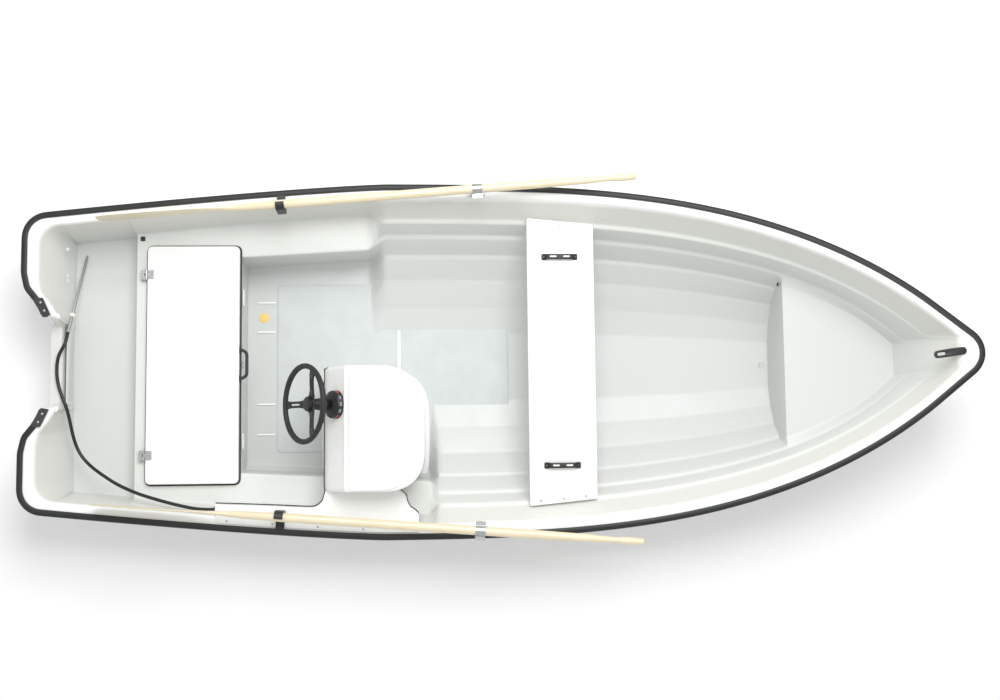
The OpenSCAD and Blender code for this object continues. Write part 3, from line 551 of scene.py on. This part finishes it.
port_half, starboard_half = liner_half(1), liner_half(-1)
top_rings = np.concatenate([port_half, starboard_half[:0:-1]]).transpose(1, 0, 2)
along = np.roll(top_rings, -1, 1) - np.roll(top_rings, 1, 1)
across = np.gradient(top_rings, axis=0)
out = unit(np.cross(across, along))
out = np.where(out[..., 2:] < 0, -out, out)
flat_part = (np.arange(len(top_rings)) < 5)[:, None, None] | (top_rings[..., :1] > deck_x)
under_rings = top_rings - np.where(flat_part, np.array((0, 0, 5.0)), 6.0*out)

# The liner's gelcoat is white at the flange. Below it the skin isn't polished, and its colour is painted shade:
# grey just under the rim and greyer towards the floor, where the deep cockpit lies in shade.
liner_gelcoat_painted_shade = moulded("satin_liner_gelcoat_painted_shade", "#f0f1ef", "#f4f5f3", 0.4, 14.0, 0.02, coat=0.1)
place = add(liner_gelcoat_painted_shade, "TexCoord").outputs["Object"]
depth = add(liner_gelcoat_painted_shade, "Attribute", {"attribute_name": "below_rim"}).outputs["Fac"]
cloud = add(liner_gelcoat_painted_shade, "TexNoise", inputs={"Vector": place, "Scale": 1/0.16, "Detail": 3.0})
clouded = add(liner_gelcoat_painted_shade, "Math", {"operation": "MULTIPLY_ADD"}, {0: cloud.outputs[0], 1: 0.03, 2: depth})
share = add(liner_gelcoat_painted_shade, "MapRange", inputs={"Value": clouded.outputs[0], "From Min": 0.015,
                                               "From Max": 0.515})
# Painted shade: the colour darkens with the depth below the rim, from white at the flange to grey at the floor.
set_inputs(liner_gelcoat_painted_shade, {"Base Color": ramp_colours(
    add(liner_gelcoat_painted_shade, "ValToRGB", inputs={"Fac": share.outputs[0]}),
    [(0.02, "#f4f5f3"), (0.06, "#dcdcd6"), (0.4, "#d8dad6"), (0.6, "#d1d3d0"), (0.95, "#c9ccca")])})
liner = ring_shell("liner_moulding", list(top_rings[::-1]) + list(under_rings), "boat", liner_gelcoat_painted_shade,
                   crease=40, stands_for=("cockpit_liner",), slot="gelcoat")
spots = np.array([v.co for v in liner.data.vertices])
rim_depth = liner.data.attributes.new("below_rim", "FLOAT", "POINT")
rim_depth.data.foreach_set("value", 0.001*sheer(1000*spots[:, 0]) - spots[:, 2])

# ---- rub rail ----
# A black rubber fender extruded in a D shape and sprung over the joint of the two mouldings, in one length
# from one side of the motor notch round the stem to the other.
notch = np.argmin(np.hypot(loop[:, 0] + 2120, loop[:, 1] - 214))
half_path = np.stack([loop[notch:, 0], loop[notch:, 1], sheer(loop[notch:, 0])], -1)
rail_path = np.concatenate([half_path, half_path[::-1]*np.array((1, -1, 1))])
seam = unit(np.gradient(rail_path[:, :2], axis=0))
outward = unit(softened(np.stack([-seam[:, 1], seam[:, 0]], -1), 2))
rail_profile = np.array([(-8, 3.8), (-7.4, 8), (0.3, 10), (5, 10.4), (12, 10), (17.6, 7.6), (21, 3), (22.8, -3),
                         (23, -9), (22.8, -14), (20.6, -20), (18, -24), (13, -27), (8, -28), (0.3, -28)])
rail_rows = np.concatenate([rail_path[:, None, :2] + outward[:, None]*rail_profile[None, :, :1],
                            rail_path[:, None, 2:] + rail_profile[None, :, 1:]], -1)

# Weathered EPDM rubber: nearly black with a faint green-grey bloom and a matt skin.
rubber = moulded("extruded_epdm_rubber", "#151818", "#1e2322", 0.5, 2.5, 0.15)
piece("rub_rail_extrusion", [rail_rows], "boat", rubber, stands_for=("rub_rail",), slot="rail_rubber")

# Clamp plates of coated steel hold the rail's two ends; each has two pan-head screws.
coated = moulded("powder_coated_steel", "#2b2d2f", "#37393b", 0.5, 1.2, 0.1)


def recoat(material, *names):
    """Gives CAD nodes one material."""
    for name in names:
        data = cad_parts[name].data
        data.materials.clear()
        data.materials.append(material)


recoat(coated, "rail_end_port", "rail_end_starboard")


def screws(name, places, radius, body, material, axis=(0, 0, 1)):
    """Pan heads standing on the given points: a dome with a shallow round socket, all in one piece."""
    x, y, z = axes_along(axis)
    head = lathe(radius*np.array([(0, 0), (0, 1), (0.25, 1), (0.5, 0.82), (0.62, 0.5), (0.62, 0.34),
                                  (0.35, 0.3), (0.35, 0)]), 16)
    return piece(name, [placed(head, p, x, y, z) for p in places], body, material)


rail_screw_z = float(sheer(-2140)) + 13.3
screws("rail_end_screws", [(x, s*y, rail_screw_z) for s in (1, -1) for x, y in ((-2152, 278), (-2134, 240))],
       6, "boat", stainless)

# ---- transom ----
# A moulded plastic pad spreads the motor clamp's load on the transom's inner face. Four white snap caps
# cover the bolt holes beside it.
pad_plastic = moulded("moulded_grey_polypropylene", "#d3d6d5", "#dde0df", 0.5, 1.6, 0.2)


def fillet(corners, radius, steps=6):
    """Rounds the corners of a closed outline: each becomes a curve from radius before it to radius after."""
    c = np.array(corners, float)
    r = np.broadcast_to(np.asarray(radius, float), len(c))[:, None]
    a, b = c + unit(np.roll(c, 1, 0) - c)*r, c + unit(np.roll(c, -1, 0) - c)*r
    t = np.linspace(0, 1, steps)[None, :, None]
    return ((1 - t)**2*a[:, None] + 2*t*(1 - t)*c[:, None] + t*t*b[:, None]).reshape(-1, c.shape[1])


def inset(outline, d):
    """An outline moved inwards by d across its own direction, longer where it turns a corner."""
    ahead, back = unit(np.roll(outline, -1, 0) - outline), unit(outline - np.roll(outline, 1, 0))
    (x, y), (next_x, next_y) = outline.T, np.roll(outline, -1, 0).T
    turn = np.sign(np.sum(x*next_y - next_x*y))
    normal = (ahead + back)/np.maximum(1e-6, 1 + np.sum(ahead*back, -1, keepdims=True))
    return outline + d*turn*np.stack([-normal[:, 1], normal[:, 0]], -1)


def moulding(corners, radius, profile, steps=6):
    """Carries a profile round a closed outline: each (inset, height) moves the corners in, rounds them by what
    is left of the radius, and gives one loop."""
    c, r = np.array(corners, float), np.broadcast_to(np.asarray(radius, float), len(corners))
    loops = []
    for d, z in profile:
        line = fillet(inset(c, d), np.maximum(r - d, 0.4), steps)
        loops.append(np.concatenate([line, np.full((len(line), 1), float(z))], -1))
    return np.stack(loops)


def box_corners(l, w, x=0.0):
    """The four corners of a rectangle of length l and width w about x."""
    return [(x - l/2, -w/2), (x + l/2, -w/2), (x + l/2, w/2), (x - l/2, w/2)]


# Directions for what lies flat, and for what stands on a face that looks forward or aft
flat, facing_fore = ((1, 0, 0), (0, 1, 0), (0, 0, 1)), ((0, 1, 0), (0, 0, 1), (1, 0, 0))
facing_aft = ((0, 1, 0), (0, 0, 1), (-1, 0, 0))
pad_grid = moulding(box_corners(380, 110), 10, [(0, 0), (0, 4.6), (1.4, 6), (12, 6), (13, 5.2), (14, 5.2),
                                                (15, 6)])
piece("transom_pad_moulded", [placed(pad_grid, (-2074, 0, 250), *facing_fore)], "boat",
      pad_plastic, stands_for=("transom_pad",), slot="grey_plastic")
cap = lathe([(0, 0), (0, 9), (2, 9), (4.4, 6), (5, 0)], 24)
piece("transom_snap_caps", [placed(cap, p, *facing_fore) for p in (
    (-2078, 405, 300), (-2078, 428, 300), (-2078, 552, 318), (-2078, 560, 290))], "boat", nylon)

# ---- locker ----
# The lid is its own gelcoat moulding, a shallow tray upside down with well rounded edges, on two stainless
# butt hinges, with a black moulded pull handle on its fore rim and a sprung latch below it.
lid_x, lid_l, lid_w = -1704, 440, 1148
lid_corners = box_corners(lid_l, lid_w, lid_x + lid_l/2)
piece("locker_lid_moulding", [moulding(lid_corners, 26, [
    (8, 279), (5.4, 277), (5, 274), (5, 255), (4, 254), (1, 254), (0, 255), (0, 279), (0.6, 281.4),
    (2, 283.2), (5, 284), (14, 284)], 10)], "lid", gelcoat, stands_for=("locker_lid",), slot="gelcoat")
# A black rubber seal round the lid, widened outwards past the lid's edge so that its black is also a painted
# shadow line in the recess round the lid.
lid_seal_and_shadow_profile = [(-8, 250.2), (-8.5, 252), (-7, 253.4), (3, 253.4), (4, 250.2), (-8, 250.2)]
lid_seal_and_shadow = moulding(lid_corners, 26, lid_seal_and_shadow_profile, 10)
piece("locker_lid_seal_and_gap_shadow", [(lid_seal_and_shadow, True, False)], "boat", rubber)
recoat(stainless, "lid_hinge_port", "lid_hinge_starboard", "lid_leaf_port", "lid_leaf_starboard",
       "locker_latch")
screws("lid_hinge_screws", [(x, s*436 + dy, 286.3) for s in (1, -1) for x in (-1694, -1682)
                            for dy in (-14, 14)], 3.4, "lid", stainless)

# Black moulded nylon for handles, clips and the helm: deep grey-black, fine spark-eroded texture.
black = moulded("moulded_black_nylon", "#191a1b", "#232526", 0.45, 1.4, 0.12)


def bar(path, width, thick, up, power=4.0, sides=16):
    """A bar along a path whose section is a rounded rectangle: cosine and sine, each to the power 2/power."""
    p = np.asarray(path, float)
    forward = unit(np.gradient(p, axis=0))
    u = unit(np.cross(np.array(up, float), forward))
    v = np.cross(forward, u)
    turn = 2*np.pi*(np.arange(sides) + 0.5)/sides
    c, s = np.cos(turn), np.sin(turn)
    c, s = np.sign(c)*np.abs(c)**(2/power), np.sign(s)*np.abs(s)**(2/power)
    return p[:, None] + width/2*u[:, None]*c[None, :, None] + thick/2*v[:, None]*s[None, :, None]


hx = lid_x + lid_l
handle_path = spline([(hx + 5, -72, 267), (hx + 18, -66, 267), (hx + 32, -56, 267), (hx + 36, -40, 267),
                      (hx + 36, 0, 267), (hx + 36, 40, 267), (hx + 32, 56, 267), (hx + 18, 66, 267),
                      (hx + 5, 72, 267)], 6)
feet = [placed(moulding(box_corners(32, 14), 5, [(0, 0), (0, 3.4), (1.4, 5)]),
               (hx + 0.3, s*70, 267), *facing_fore) for s in (1, -1)]
piece("locker_lid_handle", [bar(handle_path, 15, 13, (0, 0, 1))] + feet, "lid", black,
      stands_for=("lid_handle",), slot="black_plastic")

# Two white louvred vents in the locker's fore face.
vent_grids = []
cover = moulding(box_corners(84, 34), 16, [(0, 0), (0, 4), (1.4, 5.6), (4, 6), (5, 5), (7, 4.4)], 8)
slat = moulding(box_corners(60, 3.6), 1.6, [(0, 4.2), (0, 5.4), (1, 6)], 4)
for y in (-372, 338):
    vent_grids.append(placed(cover, (face_x + 1, y, 150), *facing_fore))
    vent_grids += [placed(slat, (face_x + 1, y, 150 + k), *facing_fore) for k in (-6, 0, 6)]
piece("locker_vent_covers", vent_grids, "boat", nylon, stands_for=("locker_vents",), slot="gelcoat")

# ---- cockpit floor ----
# A non-slip panel is moulded a few millimetres proud of the floor, with drain ribs aft of it and one across
# amidships. It has no gloss, so feet grip. Its grey is painted shade, matched to the liner's painted shade at
# the floor. A plain round label lies aft of it.
# The panel's grey colour is painted shade of the deep cockpit floor.
panel_skin_painted_shade = moulded("nonslip_gelcoat_painted_shade", "#c4c9c8", "#cacfce", 0.55, 5.0, 0.3)
panel = [(-1118, -428), (60, -428), (60, 428), (-1118, 428)]
ribs = [bar([(-1216, y, floor_z), (-1212, y, floor_z + 3.5), (-1130, y, floor_z + 3.5), (-1126, y, floor_z)],
            9, 5, (0, 0, 1), 2.2) for y in (335, 185, -182, -335)]
ribs.append(bar([(-500, 190, floor_z + 1), (-500, 184, floor_z + 7), (-500, -20, floor_z + 7),
                 (-500, -26, floor_z + 1)], 16, 6, (0, 0, 1), 2.4))
piece("floor_panel", [moulding(panel, 30, [(0, floor_z - 2), (1, floor_z + 1.6), (5, floor_z + 4),
                                           (14, floor_z + 4)])], "boat", panel_skin_painted_shade)
piece("floor_ribs", ribs, "boat", liner_gelcoat_painted_shade)
label = moulded("printed_vinyl_label", "#e2c063", "#ecd07e", 0.4, 8.0, 0.05)
piece("floor_label", [placed(lathe([(0, 0), (0, 25), (0.8, 25), (1.1, 24), (1.1, 0)], 40),
                             (-1184, 258, floor_z + 0.4), *flat)], "boat", label)

# ---- middle thwart ----
# A gelcoat moulding across the cockpit, with a drawn edge, a shallow ridge at each corner, three screws at each
# end that hold it to the sides, and two black lifting handles.
thwart_x, thwart_w, thwart_z, half, taper = 130, 325, 362, 698, 32
thwart_end = thwart_x + thwart_w
seat = [(thwart_x, -half), (thwart_end, taper - half), (thwart_end, half - taper), (thwart_x, half)]
piece("thwart_moulding", [moulding(seat, 9, [
    (8, thwart_z - 5), (5, thwart_z - 7), (5, thwart_z - 25), (4, thwart_z - 26), (1, thwart_z - 26),
    (0, thwart_z - 25), (0, thwart_z - 3.4), (1, thwart_z - 1), (3.4, thwart_z), (16, thwart_z),
    (17.2, thwart_z - 1), (18.4, thwart_z - 1), (20, thwart_z)])], "boat", gelcoat,
    stands_for=("middle_thwart",), slot="gelcoat")
for side, name in ((1, "port"), (-1, "starboard")):
    ridges = [[(thwart_x + 34, half - 128), (thwart_x + 34, half - 60), (thwart_x + 26, half - 22)],
              [(thwart_end - 34, half - 138), (thwart_end - 34, half - 76), (thwart_end - 26, half - 46)]]
    piece("thwart_end_ridges_" + name, [bar(spline([(x, side*y, thwart_z) for x, y in ridge], 8), 5, 2.4,
                                            (0, 0, 1), 2.0) for ridge in ridges], "boat", gelcoat)
    x0, hy = thwart_x + 158, side*505
    arch = [(-82, 4), (-74, 7), (-60, 18), (-30, 20), (0, 20.5), (30, 20), (60, 18), (74, 7), (82, 4)]
    grip = spline([(x0 + x, hy, thwart_z + z) for x, z in arch], 5)
    ends = [placed(moulding(box_corners(26, 30), 7, [(0, 0.3), (0, 5), (2, 7.4)]),
                   (x0 + k*75, hy, thwart_z), *flat) for k in (1, -1)]
    piece("thwart_handle_grip_" + name, [bar(grip, 26, 6.5, (0, 0, 1), 3.0)] + ends, "boat", black,
          stands_for=("thwart_handle_" + name,), slot="black_plastic")
    pale = [placed(moulding(box_corners(32, 8), 3.6, [(0, 0), (0.6, 0.8)]),
                   (x0 + k*32, hy, thwart_z + 23.0), *flat) for k in (1, -1)]
    piece("thwart_handle_inserts_" + name, pale, "boat", nylon)
    screws("thwart_screws_" + name, [(thwart_x + x, side*(half - y), thwart_z - 0.2)
                                     for x, y in ((52, 26), (162, 34), (268, 46))], 5.5, "boat", stainless)
    screws("thwart_handle_screws_" + name, [(x0 + k*75, hy, thwart_z + 7) for k in (1, -1)], 4, "boat",
           stainless)

# ---- bow fittings ----
# A black moulded cleat plate with one slot lies on the bow plate, a little askew, and a stainless eye is
# bolted through the stem.
cleat_x = 2086


def ring_plate(outer_line, inner_line, z0, z1, r=1.6):
    """A plate with one hole: loops up the outside, across the top, down the hole and back, edges eased by r."""
    o, i = outer_line, inner_line
    rows = [(o, 0, z0), (o, 0, z1 - r), (o, 0.3*r, z1 - 0.3*r), (o, r, z1), (i, -r, z1),
            (i, -0.3*r, z1 - 0.3*r), (i, 0, z1 - r), (i, 0, z0)]
    loops = [np.concatenate([inset(line, d), np.full((len(line), 1), float(z))], -1) for line, d, z in rows]
    return np.stack(loops + loops[:1])


def capsule(length, width, count=64):
    """A slot outline: two half circles of the width joined by straight sides, its points spread by angle."""
    t = 2*np.pi*np.arange(count)/count
    r = width/2
    return np.stack([(length/2 - r)*np.sign(np.cos(t))*np.minimum(1, np.abs(np.cos(t))*2.2) + r*np.cos(t),
                     r*np.sin(t)], -1)


slope, skew = math.radians(7), math.radians(8)
cleat_along = unit(np.array((math.cos(skew), math.sin(skew), math.tan(slope))))
cleat_across = np.array((-math.sin(skew), math.cos(skew), 0))
cleat_axes = (cleat_along, cleat_across, np.cross(cleat_along, cleat_across))
cleat = ring_plate(capsule(150, 38), capsule(40, 14) + np.array((-42, 0)), 0, 13)
piece("bow_cleat_plate", [(placed(cleat, (cleat_x, 0, float(sheer(cleat_x)) + 9), *cleat_axes), True, False)],
      "boat", black, stands_for=("bow_cleat",), slot="black_plastic")
recoat(stainless, "bow_eye")

# ---- drains and grommets ----
# Black rubber and plastic fittings where a wire or water passes a moulding, and a steel ring in the floor.
recoat(black, "bench_grommet", "deck_drain", "cable_gland")
recoat(stainless, "floor_drain")

# ---- steering console ----
# A tall box moulding screwed to the floor, with a lower dash that leans aft for the helm, a rounded top and a
# duct that runs aft against the starboard side and carries the cable.
con_fore, con_aft, con_port, con_stbd = -372, -874, -34, -616
con_top, dash_low, dash_x, side_in = 620, 486, -730, -659


def console_loop(z, grow=0.0):
    """The console's outline at height z: the fore face upright, the aft face set back above the dash, and the
    fore corners swept round in long curves."""
    up = float(ramp(dash_low, con_top, z))
    aft = con_aft + 8 + 26*float(ramp(floor_z, 456, z)) + 16*float(ramp(456, dash_low, z)) + 94*up
    fore = con_fore + 2 - 2*float(ramp(floor_z, 590, z))
    corners = [(aft - grow, con_stbd - grow), (fore + grow, con_stbd - grow), (fore + grow, con_port + grow),
               (aft - grow, con_port + grow)]
    line = fillet(corners, [22, 190, 225, 22], 12)
    return np.concatenate([line, np.full((len(line), 1), float(z))], -1)


def between(a, b, t, z):
    """A loop the share t of the way from loop a to loop b, at height z."""
    return np.concatenate([a[:, :2] + (b[:, :2] - a[:, :2])*t, np.full((len(a), 1), float(z))], -1)


plateau = np.concatenate([fillet([(dash_x + 12, con_stbd + 8), (con_fore - 62, con_stbd + 8),
                                  (con_fore - 62, con_port - 46), (dash_x + 12, con_port - 46)],
                                 [10, 150, 190, 10], 12), np.zeros((48, 1))], -1)
shoulder = console_loop(600)
middle = plateau*0 + plateau.mean(0)
shell_rows = [console_loop(floor_z + up, out) for up, out in ((3, 22), (5.5, 21), (6, 6), (9, 2))]
shell_rows += [console_loop(z) for z in (
    floor_z + 40, 100, 250, 400, 440, 452, 460, 468, 478, 486, 500, 520, 540, 560, 575, 588, 594, 600)]
shell_rows += [between(shoulder, plateau, t, z) for t, z in (
    (0.04, 604), (0.12, 607.4), (0.25, 609.4), (0.6, 611.4), (0.86, 613), (0.95, 615), (0.99, 618), (1, 620.4))]
shell_rows += [between(plateau, middle, t, z) for t, z in ((0.02, 621.6), (0.05, 622), (0.5, 622))]
piece("console_moulding", [(np.stack(shell_rows), True, True)], "boat", gelcoat, crease=32, slot="gelcoat")

# The duct: an upright inner wall and a top that laps onto the gunwale's flange, in one moulding with the
# console; its wall sweeps into the console's side in a long curve.
duct_line = spline([(-1340, side_in, 0), (-1180, side_in - 7, 0), (-1020, side_in - 15, 0),
                    (-906, side_in - 21, 0), (-872, -672, 0), (-848, -648, 0), (-838, -612, 0), (-800, -594, 0),
                    (-540, -594, 0), (-468, -622, 0), (-454, -656, 0), (-440, -684, 0), (-416, -702, 0),
                    (-401, -718, 0)], 8)
duct_x, duct_y = duct_line[:, 0], duct_line[:, 1]
lip_y = -(half_beam(duct_x) - 16)
duct_rows = [(duct_y, 251), (duct_y, 440), (duct_y - 0.6, 449), (duct_y - 3, 456), (duct_y - 8, 460.4),
             (duct_y - 14, 461), (lip_y + 3, 461), (lip_y, 459.5), (lip_y, 456.8), (duct_y - 16, 456.8),
             (duct_y - 5, 448), (duct_y - 5, 251)]
duct = np.stack([np.stack([duct_x, y, z + 0*duct_x], -1) for y, z in duct_rows], 1)
piece("console_duct_moulding", [(duct, True, True)], "boat", gelcoat, crease=32,
      stands_for=("console",), slot="gelcoat")
wall = moulding([(-660, 252), (-722, 300), (-722, 452), (-664, 456)], 6, [(0, 0), (0, 4), (1, 5)])
piece("console_duct_end", [placed(wall, (-1340.2, 0, 0), *facing_aft)], "boat", gelcoat)
# A black rubber trim is pushed over the edges of the console and its duct. Its black line is partly a painted
# shadow, standing in for the shade in the gap along those edges.
lift = np.array((0, 0, 462.0))
edge = np.concatenate([duct_line[:49:4] + lift, [(-841, -570, 462), (-841, -420, 462), (-841, -240, 462),
                                                 (-841, -60, 462), (-836, -42, 462), (-822, -34, 462)]])
neck = duct_line[:64:-3] + lift
piece("console_edge_trim_and_shadow_line", [tube(spline(edge, 6), 2.4, 10), tube(spline(neck, 3), 2.2, 10)], "boat", rubber)
screws("console_duct_screws", [(x, 27 - float(half_beam(x)), 460.9) for x in (-1290, -1080, -870, -660, -470)],
       5, "boat", stainless)

# ---- helm ----
# A moulded black bezel bolted to the dash, with two thin printed arcs, a turned shaft and a moulded wheel: a
# padded rim with grip swells and three slotted spokes on a domed hub.
tilt = math.radians(35)
axis = np.array((-math.cos(tilt), 0, math.sin(tilt)))
helm_up = np.array((math.sin(tilt), 0, math.cos(tilt)))
helm_axes = (helm_up, np.cross(axis, helm_up), axis)
dash_mid, wheel_reach, rim_r = np.array((-776.9, -213, 553)), 172, 172
wheel_mid = dash_mid + axis*wheel_reach
piece("helm_bezel_cover", [placed(lathe([
    (0.3, 12), (0.3, 65.5), (5, 66), (7, 65), (26, 64), (30, 62), (33, 57), (36, 50), (42, 42), (44, 38),
    (44, 30), (43, 28), (43, 12.2), (0.3, 12.2)], 72), dash_mid, *helm_axes)], "boat", black,
    stands_for=("helm_bezel",), slot="black_plastic")
orange = moulded("pad_printed_orange_ink", "#b8452c", "#c6533a", 0.42, 1.2, 0.02)
grey_ink = moulded("pad_printed_grey_ink", "#7f8486", "#8c9193", 0.42, 1.2, 0.02)


def arc_band(a0, a1, r0, r1, z0, z1, steps=28):
    """A thin band lying on a cone, from angle a0 to a1 degrees, radius r0 at height z0 to r1 at z1."""
    a = np.radians(np.linspace(a0, a1, steps))
    section = [(r0, z0 - 0.3), (r0, z0 + 0.5), (r1, z1 + 0.5), (r1, z1 - 0.3)]
    return np.stack([np.stack([r*np.cos(a), r*np.sin(a), z + 0*a], -1) for r, z in section], 1)


piece("helm_bezel_orange_arcs", [placed(arc_band(a, a + 26, 64.8, 64.4, 12, 20), dash_mid, *helm_axes)
                                 for a in (52, -78)], "boat", orange)
piece("helm_bezel_grey_marks", [placed(arc_band(a, a + 17, 64.8, 64.3, 11, 22, 10), dash_mid, *helm_axes)
                                for a in (-38, -9, 20)], "boat", grey_ink)
piece("helm_shaft_turned", [placed(lathe([
    (-6, 0), (-6, 11), (-5, 11.8), (46, 11.8), (47, 13), (49, 22), (64, 28), (66, 29.6), (70, 30), (96, 27.5),
    (123, 23), (125, 22), (126, 12), (140, 11.8), (141, 0)], 48), dash_mid, *helm_axes)], "helm_wheel", black,
    stands_for=("helm_shaft",), slot="black_plastic")

turn = 2*np.pi*np.arange(180)/180
rim_path = np.stack([rim_r*np.cos(turn), rim_r*np.sin(turn), 0*turn], -1)
swell = 0.8*np.cos(3*turn) + 0.35*np.cos(36*turn)*(np.cos(3*turn + np.pi) > 0.2)
rim = tube(rim_path, 12.6 + np.clip(swell, -1, 1)*0.8, 28, (0, 0, 1), closed=True)
rim = np.concatenate([rim, rim[:1]])
spokes = []
for angle in (180, 62, -62):
    a = math.radians(angle)
    out_dir, side_dir = np.array((math.cos(a), math.sin(a), 0)), np.array((-math.sin(a), math.cos(a), 0))
    outline = fillet([(28, -24), (70, -15), (130, -15), (168, -22), (168, 22), (130, 15), (70, 15), (28, 24)],
                     [2, 14, 14, 2, 2, 14, 14, 2], 6)
    u = np.arctan2(outline[:, 1], outline[:, 0] - 100)
    hole = np.stack([100 + np.clip(np.cos(u)*60, -1, 1)*22 + np.cos(u)*6, 6*np.sin(u)], -1)
    plate = ring_plate(outline, hole, -6, 3, 2.4)
    dish = 30*np.clip((140 - plate[..., :1])/100, 0, 1)**1.1
    spoke = placed(np.concatenate([plate[..., :2], plate[..., 2:] - dish], -1), (0, 0, 0), out_dir, side_dir,
                   (0, 0, 1))
    spokes.append((placed(spoke, wheel_mid, *helm_axes), True, False))
soft_grip = moulded("moulded_soft_grip", "#1c1d1e", "#262829", 0.6, 1.2, 0.25)
piece("steering_wheel_rim", [(placed(rim, wheel_mid, *helm_axes), True, False)], "helm_wheel", soft_grip,
      stands_for=("steering_wheel",), slot="black_plastic")
piece("steering_wheel_spokes", spokes + [placed(lathe([
    (-40, 12.2), (-40, 34), (-37, 37), (-27, 38), (-25.4, 37), (-25, 34), (-25, 12.2), (-40, 12.2)], 48),
    wheel_mid, *helm_axes)], "helm_wheel", black)
piece("steering_wheel_cap", [placed(lathe([
    (-24.8, 0), (-24.8, 33), (-14, 32.6), (-12.6, 31), (-10.6, 27), (-9.2, 20), (-8.8, 16), (-9.6, 15),
    (-9.6, 13), (-8.4, 12), (-8.1, 0)], 56), wheel_mid, *helm_axes)], "helm_wheel", black,
    stands_for=("wheel_hub",), slot="black_plastic")

# ---- oars ----
# Each oar is one length of spruce, turned at the shaft, thinned at the grip and spooned flat into the blade,
# then varnished. Its grain runs along it.
pin_x, pin_y, oar_z, aft = -118, 801, 550, -1768


def spruce():
    """Pale varnished spruce: growth rings drawn out along the grain, fine pores, a clear gloss coat."""
    material = finish_of("varnished_spruce")
    place = add(material, "TexCoord").outputs["Object"]
    stretched = add(material, "Mapping", inputs={"Vector": place, "Scale": (0.6, 9, 9)})
    rings = add(material, "TexNoise", inputs={"Vector": stretched.outputs[0], "Scale": 14.0, "Detail": 4.0})
    pores = add(material, "TexNoise", inputs={"Vector": stretched.outputs[0], "Scale": 90.0, "Detail": 2.0})
    tint = ramp_colours(add(material, "ValToRGB", inputs={"Fac": rings.outputs[0]}),
                        [(0.3, "#d9c9a6"), (0.5, "#e6dabd"), (0.7, "#dccdab")])
    bump = add(material, "Bump", inputs={"Height": pores.outputs[0], "Strength": 0.2, "Distance": 0.0002})
    spread = add(material, "MapRange", inputs={"Value": rings.outputs[0], "To Min": 0.26, "To Max": 0.4})
    set_inputs(material, {"Base Color": tint, "Roughness": spread.outputs[0],
                          "Normal": bump.outputs[0], "Coat Weight": 0.4, "Coat Roughness": 0.1})
    return material


wood = spruce()
# Stations along the oar from the blade's tip: distance, half width across (z), half thickness (y)
oar_rows = np.array([
    (aft, 40, 3), (aft + 3, 46, 4.2), (aft + 12, 55, 4.6), (aft + 40, 64, 4.8), (aft + 120, 65, 5),
    (aft + 260, 64, 5), (aft + 400, 57, 5.4), (aft + 500, 42, 7), (aft + 560, 29, 10), (aft + 620, 20, 15),
    (aft + 700, 18.6, 17.6), (aft + 880, 21, 21), (-400, 21, 21), (180, 21, 21), (480, 19, 19),
    (590, 15.4, 15.4), (612, 14, 14), (644, 14, 14), (652, 15, 15), (658, 17, 17), (702, 17.5, 17.5),
    (745, 16.4, 16.4), (757, 15, 15), (761, 12, 12), (762, 8, 8)], float)
at = np.linspace(0, len(oar_rows) - 1, 320)
low = np.floor(at).astype(int)
high, t = np.minimum(low + 1, len(oar_rows) - 1), at - low
eased = (t*t*(3 - 2*t))[:, None]
line = np.concatenate([oar_rows[low, :1] + (oar_rows[high, :1] - oar_rows[low, :1])*t[:, None],
                       oar_rows[low, 1:] + (oar_rows[high, 1:] - oar_rows[low, 1:])*eased], 1)
around = 2*np.pi*np.arange(40)/40
oar_grid = np.stack([line[:, :1] + 0*around, line[:, 2:]*np.sin(around), line[:, 1:2]*np.cos(around)], -1)
grip_end, grip_out = 762, 62
turn_out = math.atan2(grip_out, grip_end)
for s, name in ((1, "port"), (-1, "starboard")):
    x_dir = (math.cos(turn_out), s*math.sin(turn_out), 0)
    y_dir = (-s*math.sin(turn_out), math.cos(turn_out), 0)
    piece("oar_" + name + "_spruce", [placed(oar_grid, (pin_x, s*pin_y, oar_z), x_dir, y_dir, (0, 0, 1))],
          name + "_oar", wood, stands_for=("oar_" + name,), slot="varnished_spruce")
    recoat(stainless, "rowlock_socket_" + name, "oar_clamp_" + name)
    recoat(black, "oar_clip_" + name)
    socket_top = float(sheer(pin_x)) + 8.6
    screws("rowlock_socket_screws_" + name, [(pin_x + k*30, s*pin_y, socket_top) for k in (1, -1)], 4.5, "boat",
           stainless)

# ---- stage and light ----
# A plain pale floor at the waterline, open where the hull passes through it, one broad soft key light from
# port and above, and an even pale sky.
x, b, top, quarter_slope, _ = loop.T
water = (top - hull_drop)/(top - hull_drop - bottom(x))
f = np.interp(water, [s for _, s in hull_sec], [f for f, _ in hull_sec])
y = np.where(b > 0, np.maximum(2, b*f**(1 + 1.2*ramp(500, x_tip, x)**2) - 12*ramp(20, 200, b)), 0)
cut = both_sides(np.stack([x - lean(x, water) + 55*water*quarter_slope, y, 0*x], -1))
stage_floor = moulded("stage_floor_paint", "#f4f4f4", "#f5f5f5", 0.9, 20.0, 0.002)
bearing = np.arctan2(cut[:, 1], cut[:, 0])
far = np.stack([9000*np.cos(bearing), 9000*np.sin(bearing), 0*bearing], -1)
floor_rings = np.stack([cut + (far - cut)*share for share in (0, 0.02, 0.2, 1)])
piece("stage_floor", [(floor_rings, True, False)], None, stage_floor)

world = bpy.data.worlds.new("studio")
bpy.context.scene.world = world
world.use_nodes = True
world.node_tree.nodes["Background"].inputs["Color"].default_value = srgb("#f7f7f7")
world.node_tree.nodes["Background"].inputs["Strength"].default_value = 0.82
key = bpy.data.lights.new("key", "AREA")
key.energy, key.size = 300, 3.6
key_light = bpy.data.objects.new("key", key)
key_light.location, key_light.rotation_euler = (0.4, 2.5, 6.0), (-0.4, 0.06, 0)
bpy.context.scene.collection.objects.link(key_light)

bpy.context.scene.view_settings.view_transform = "Standard"
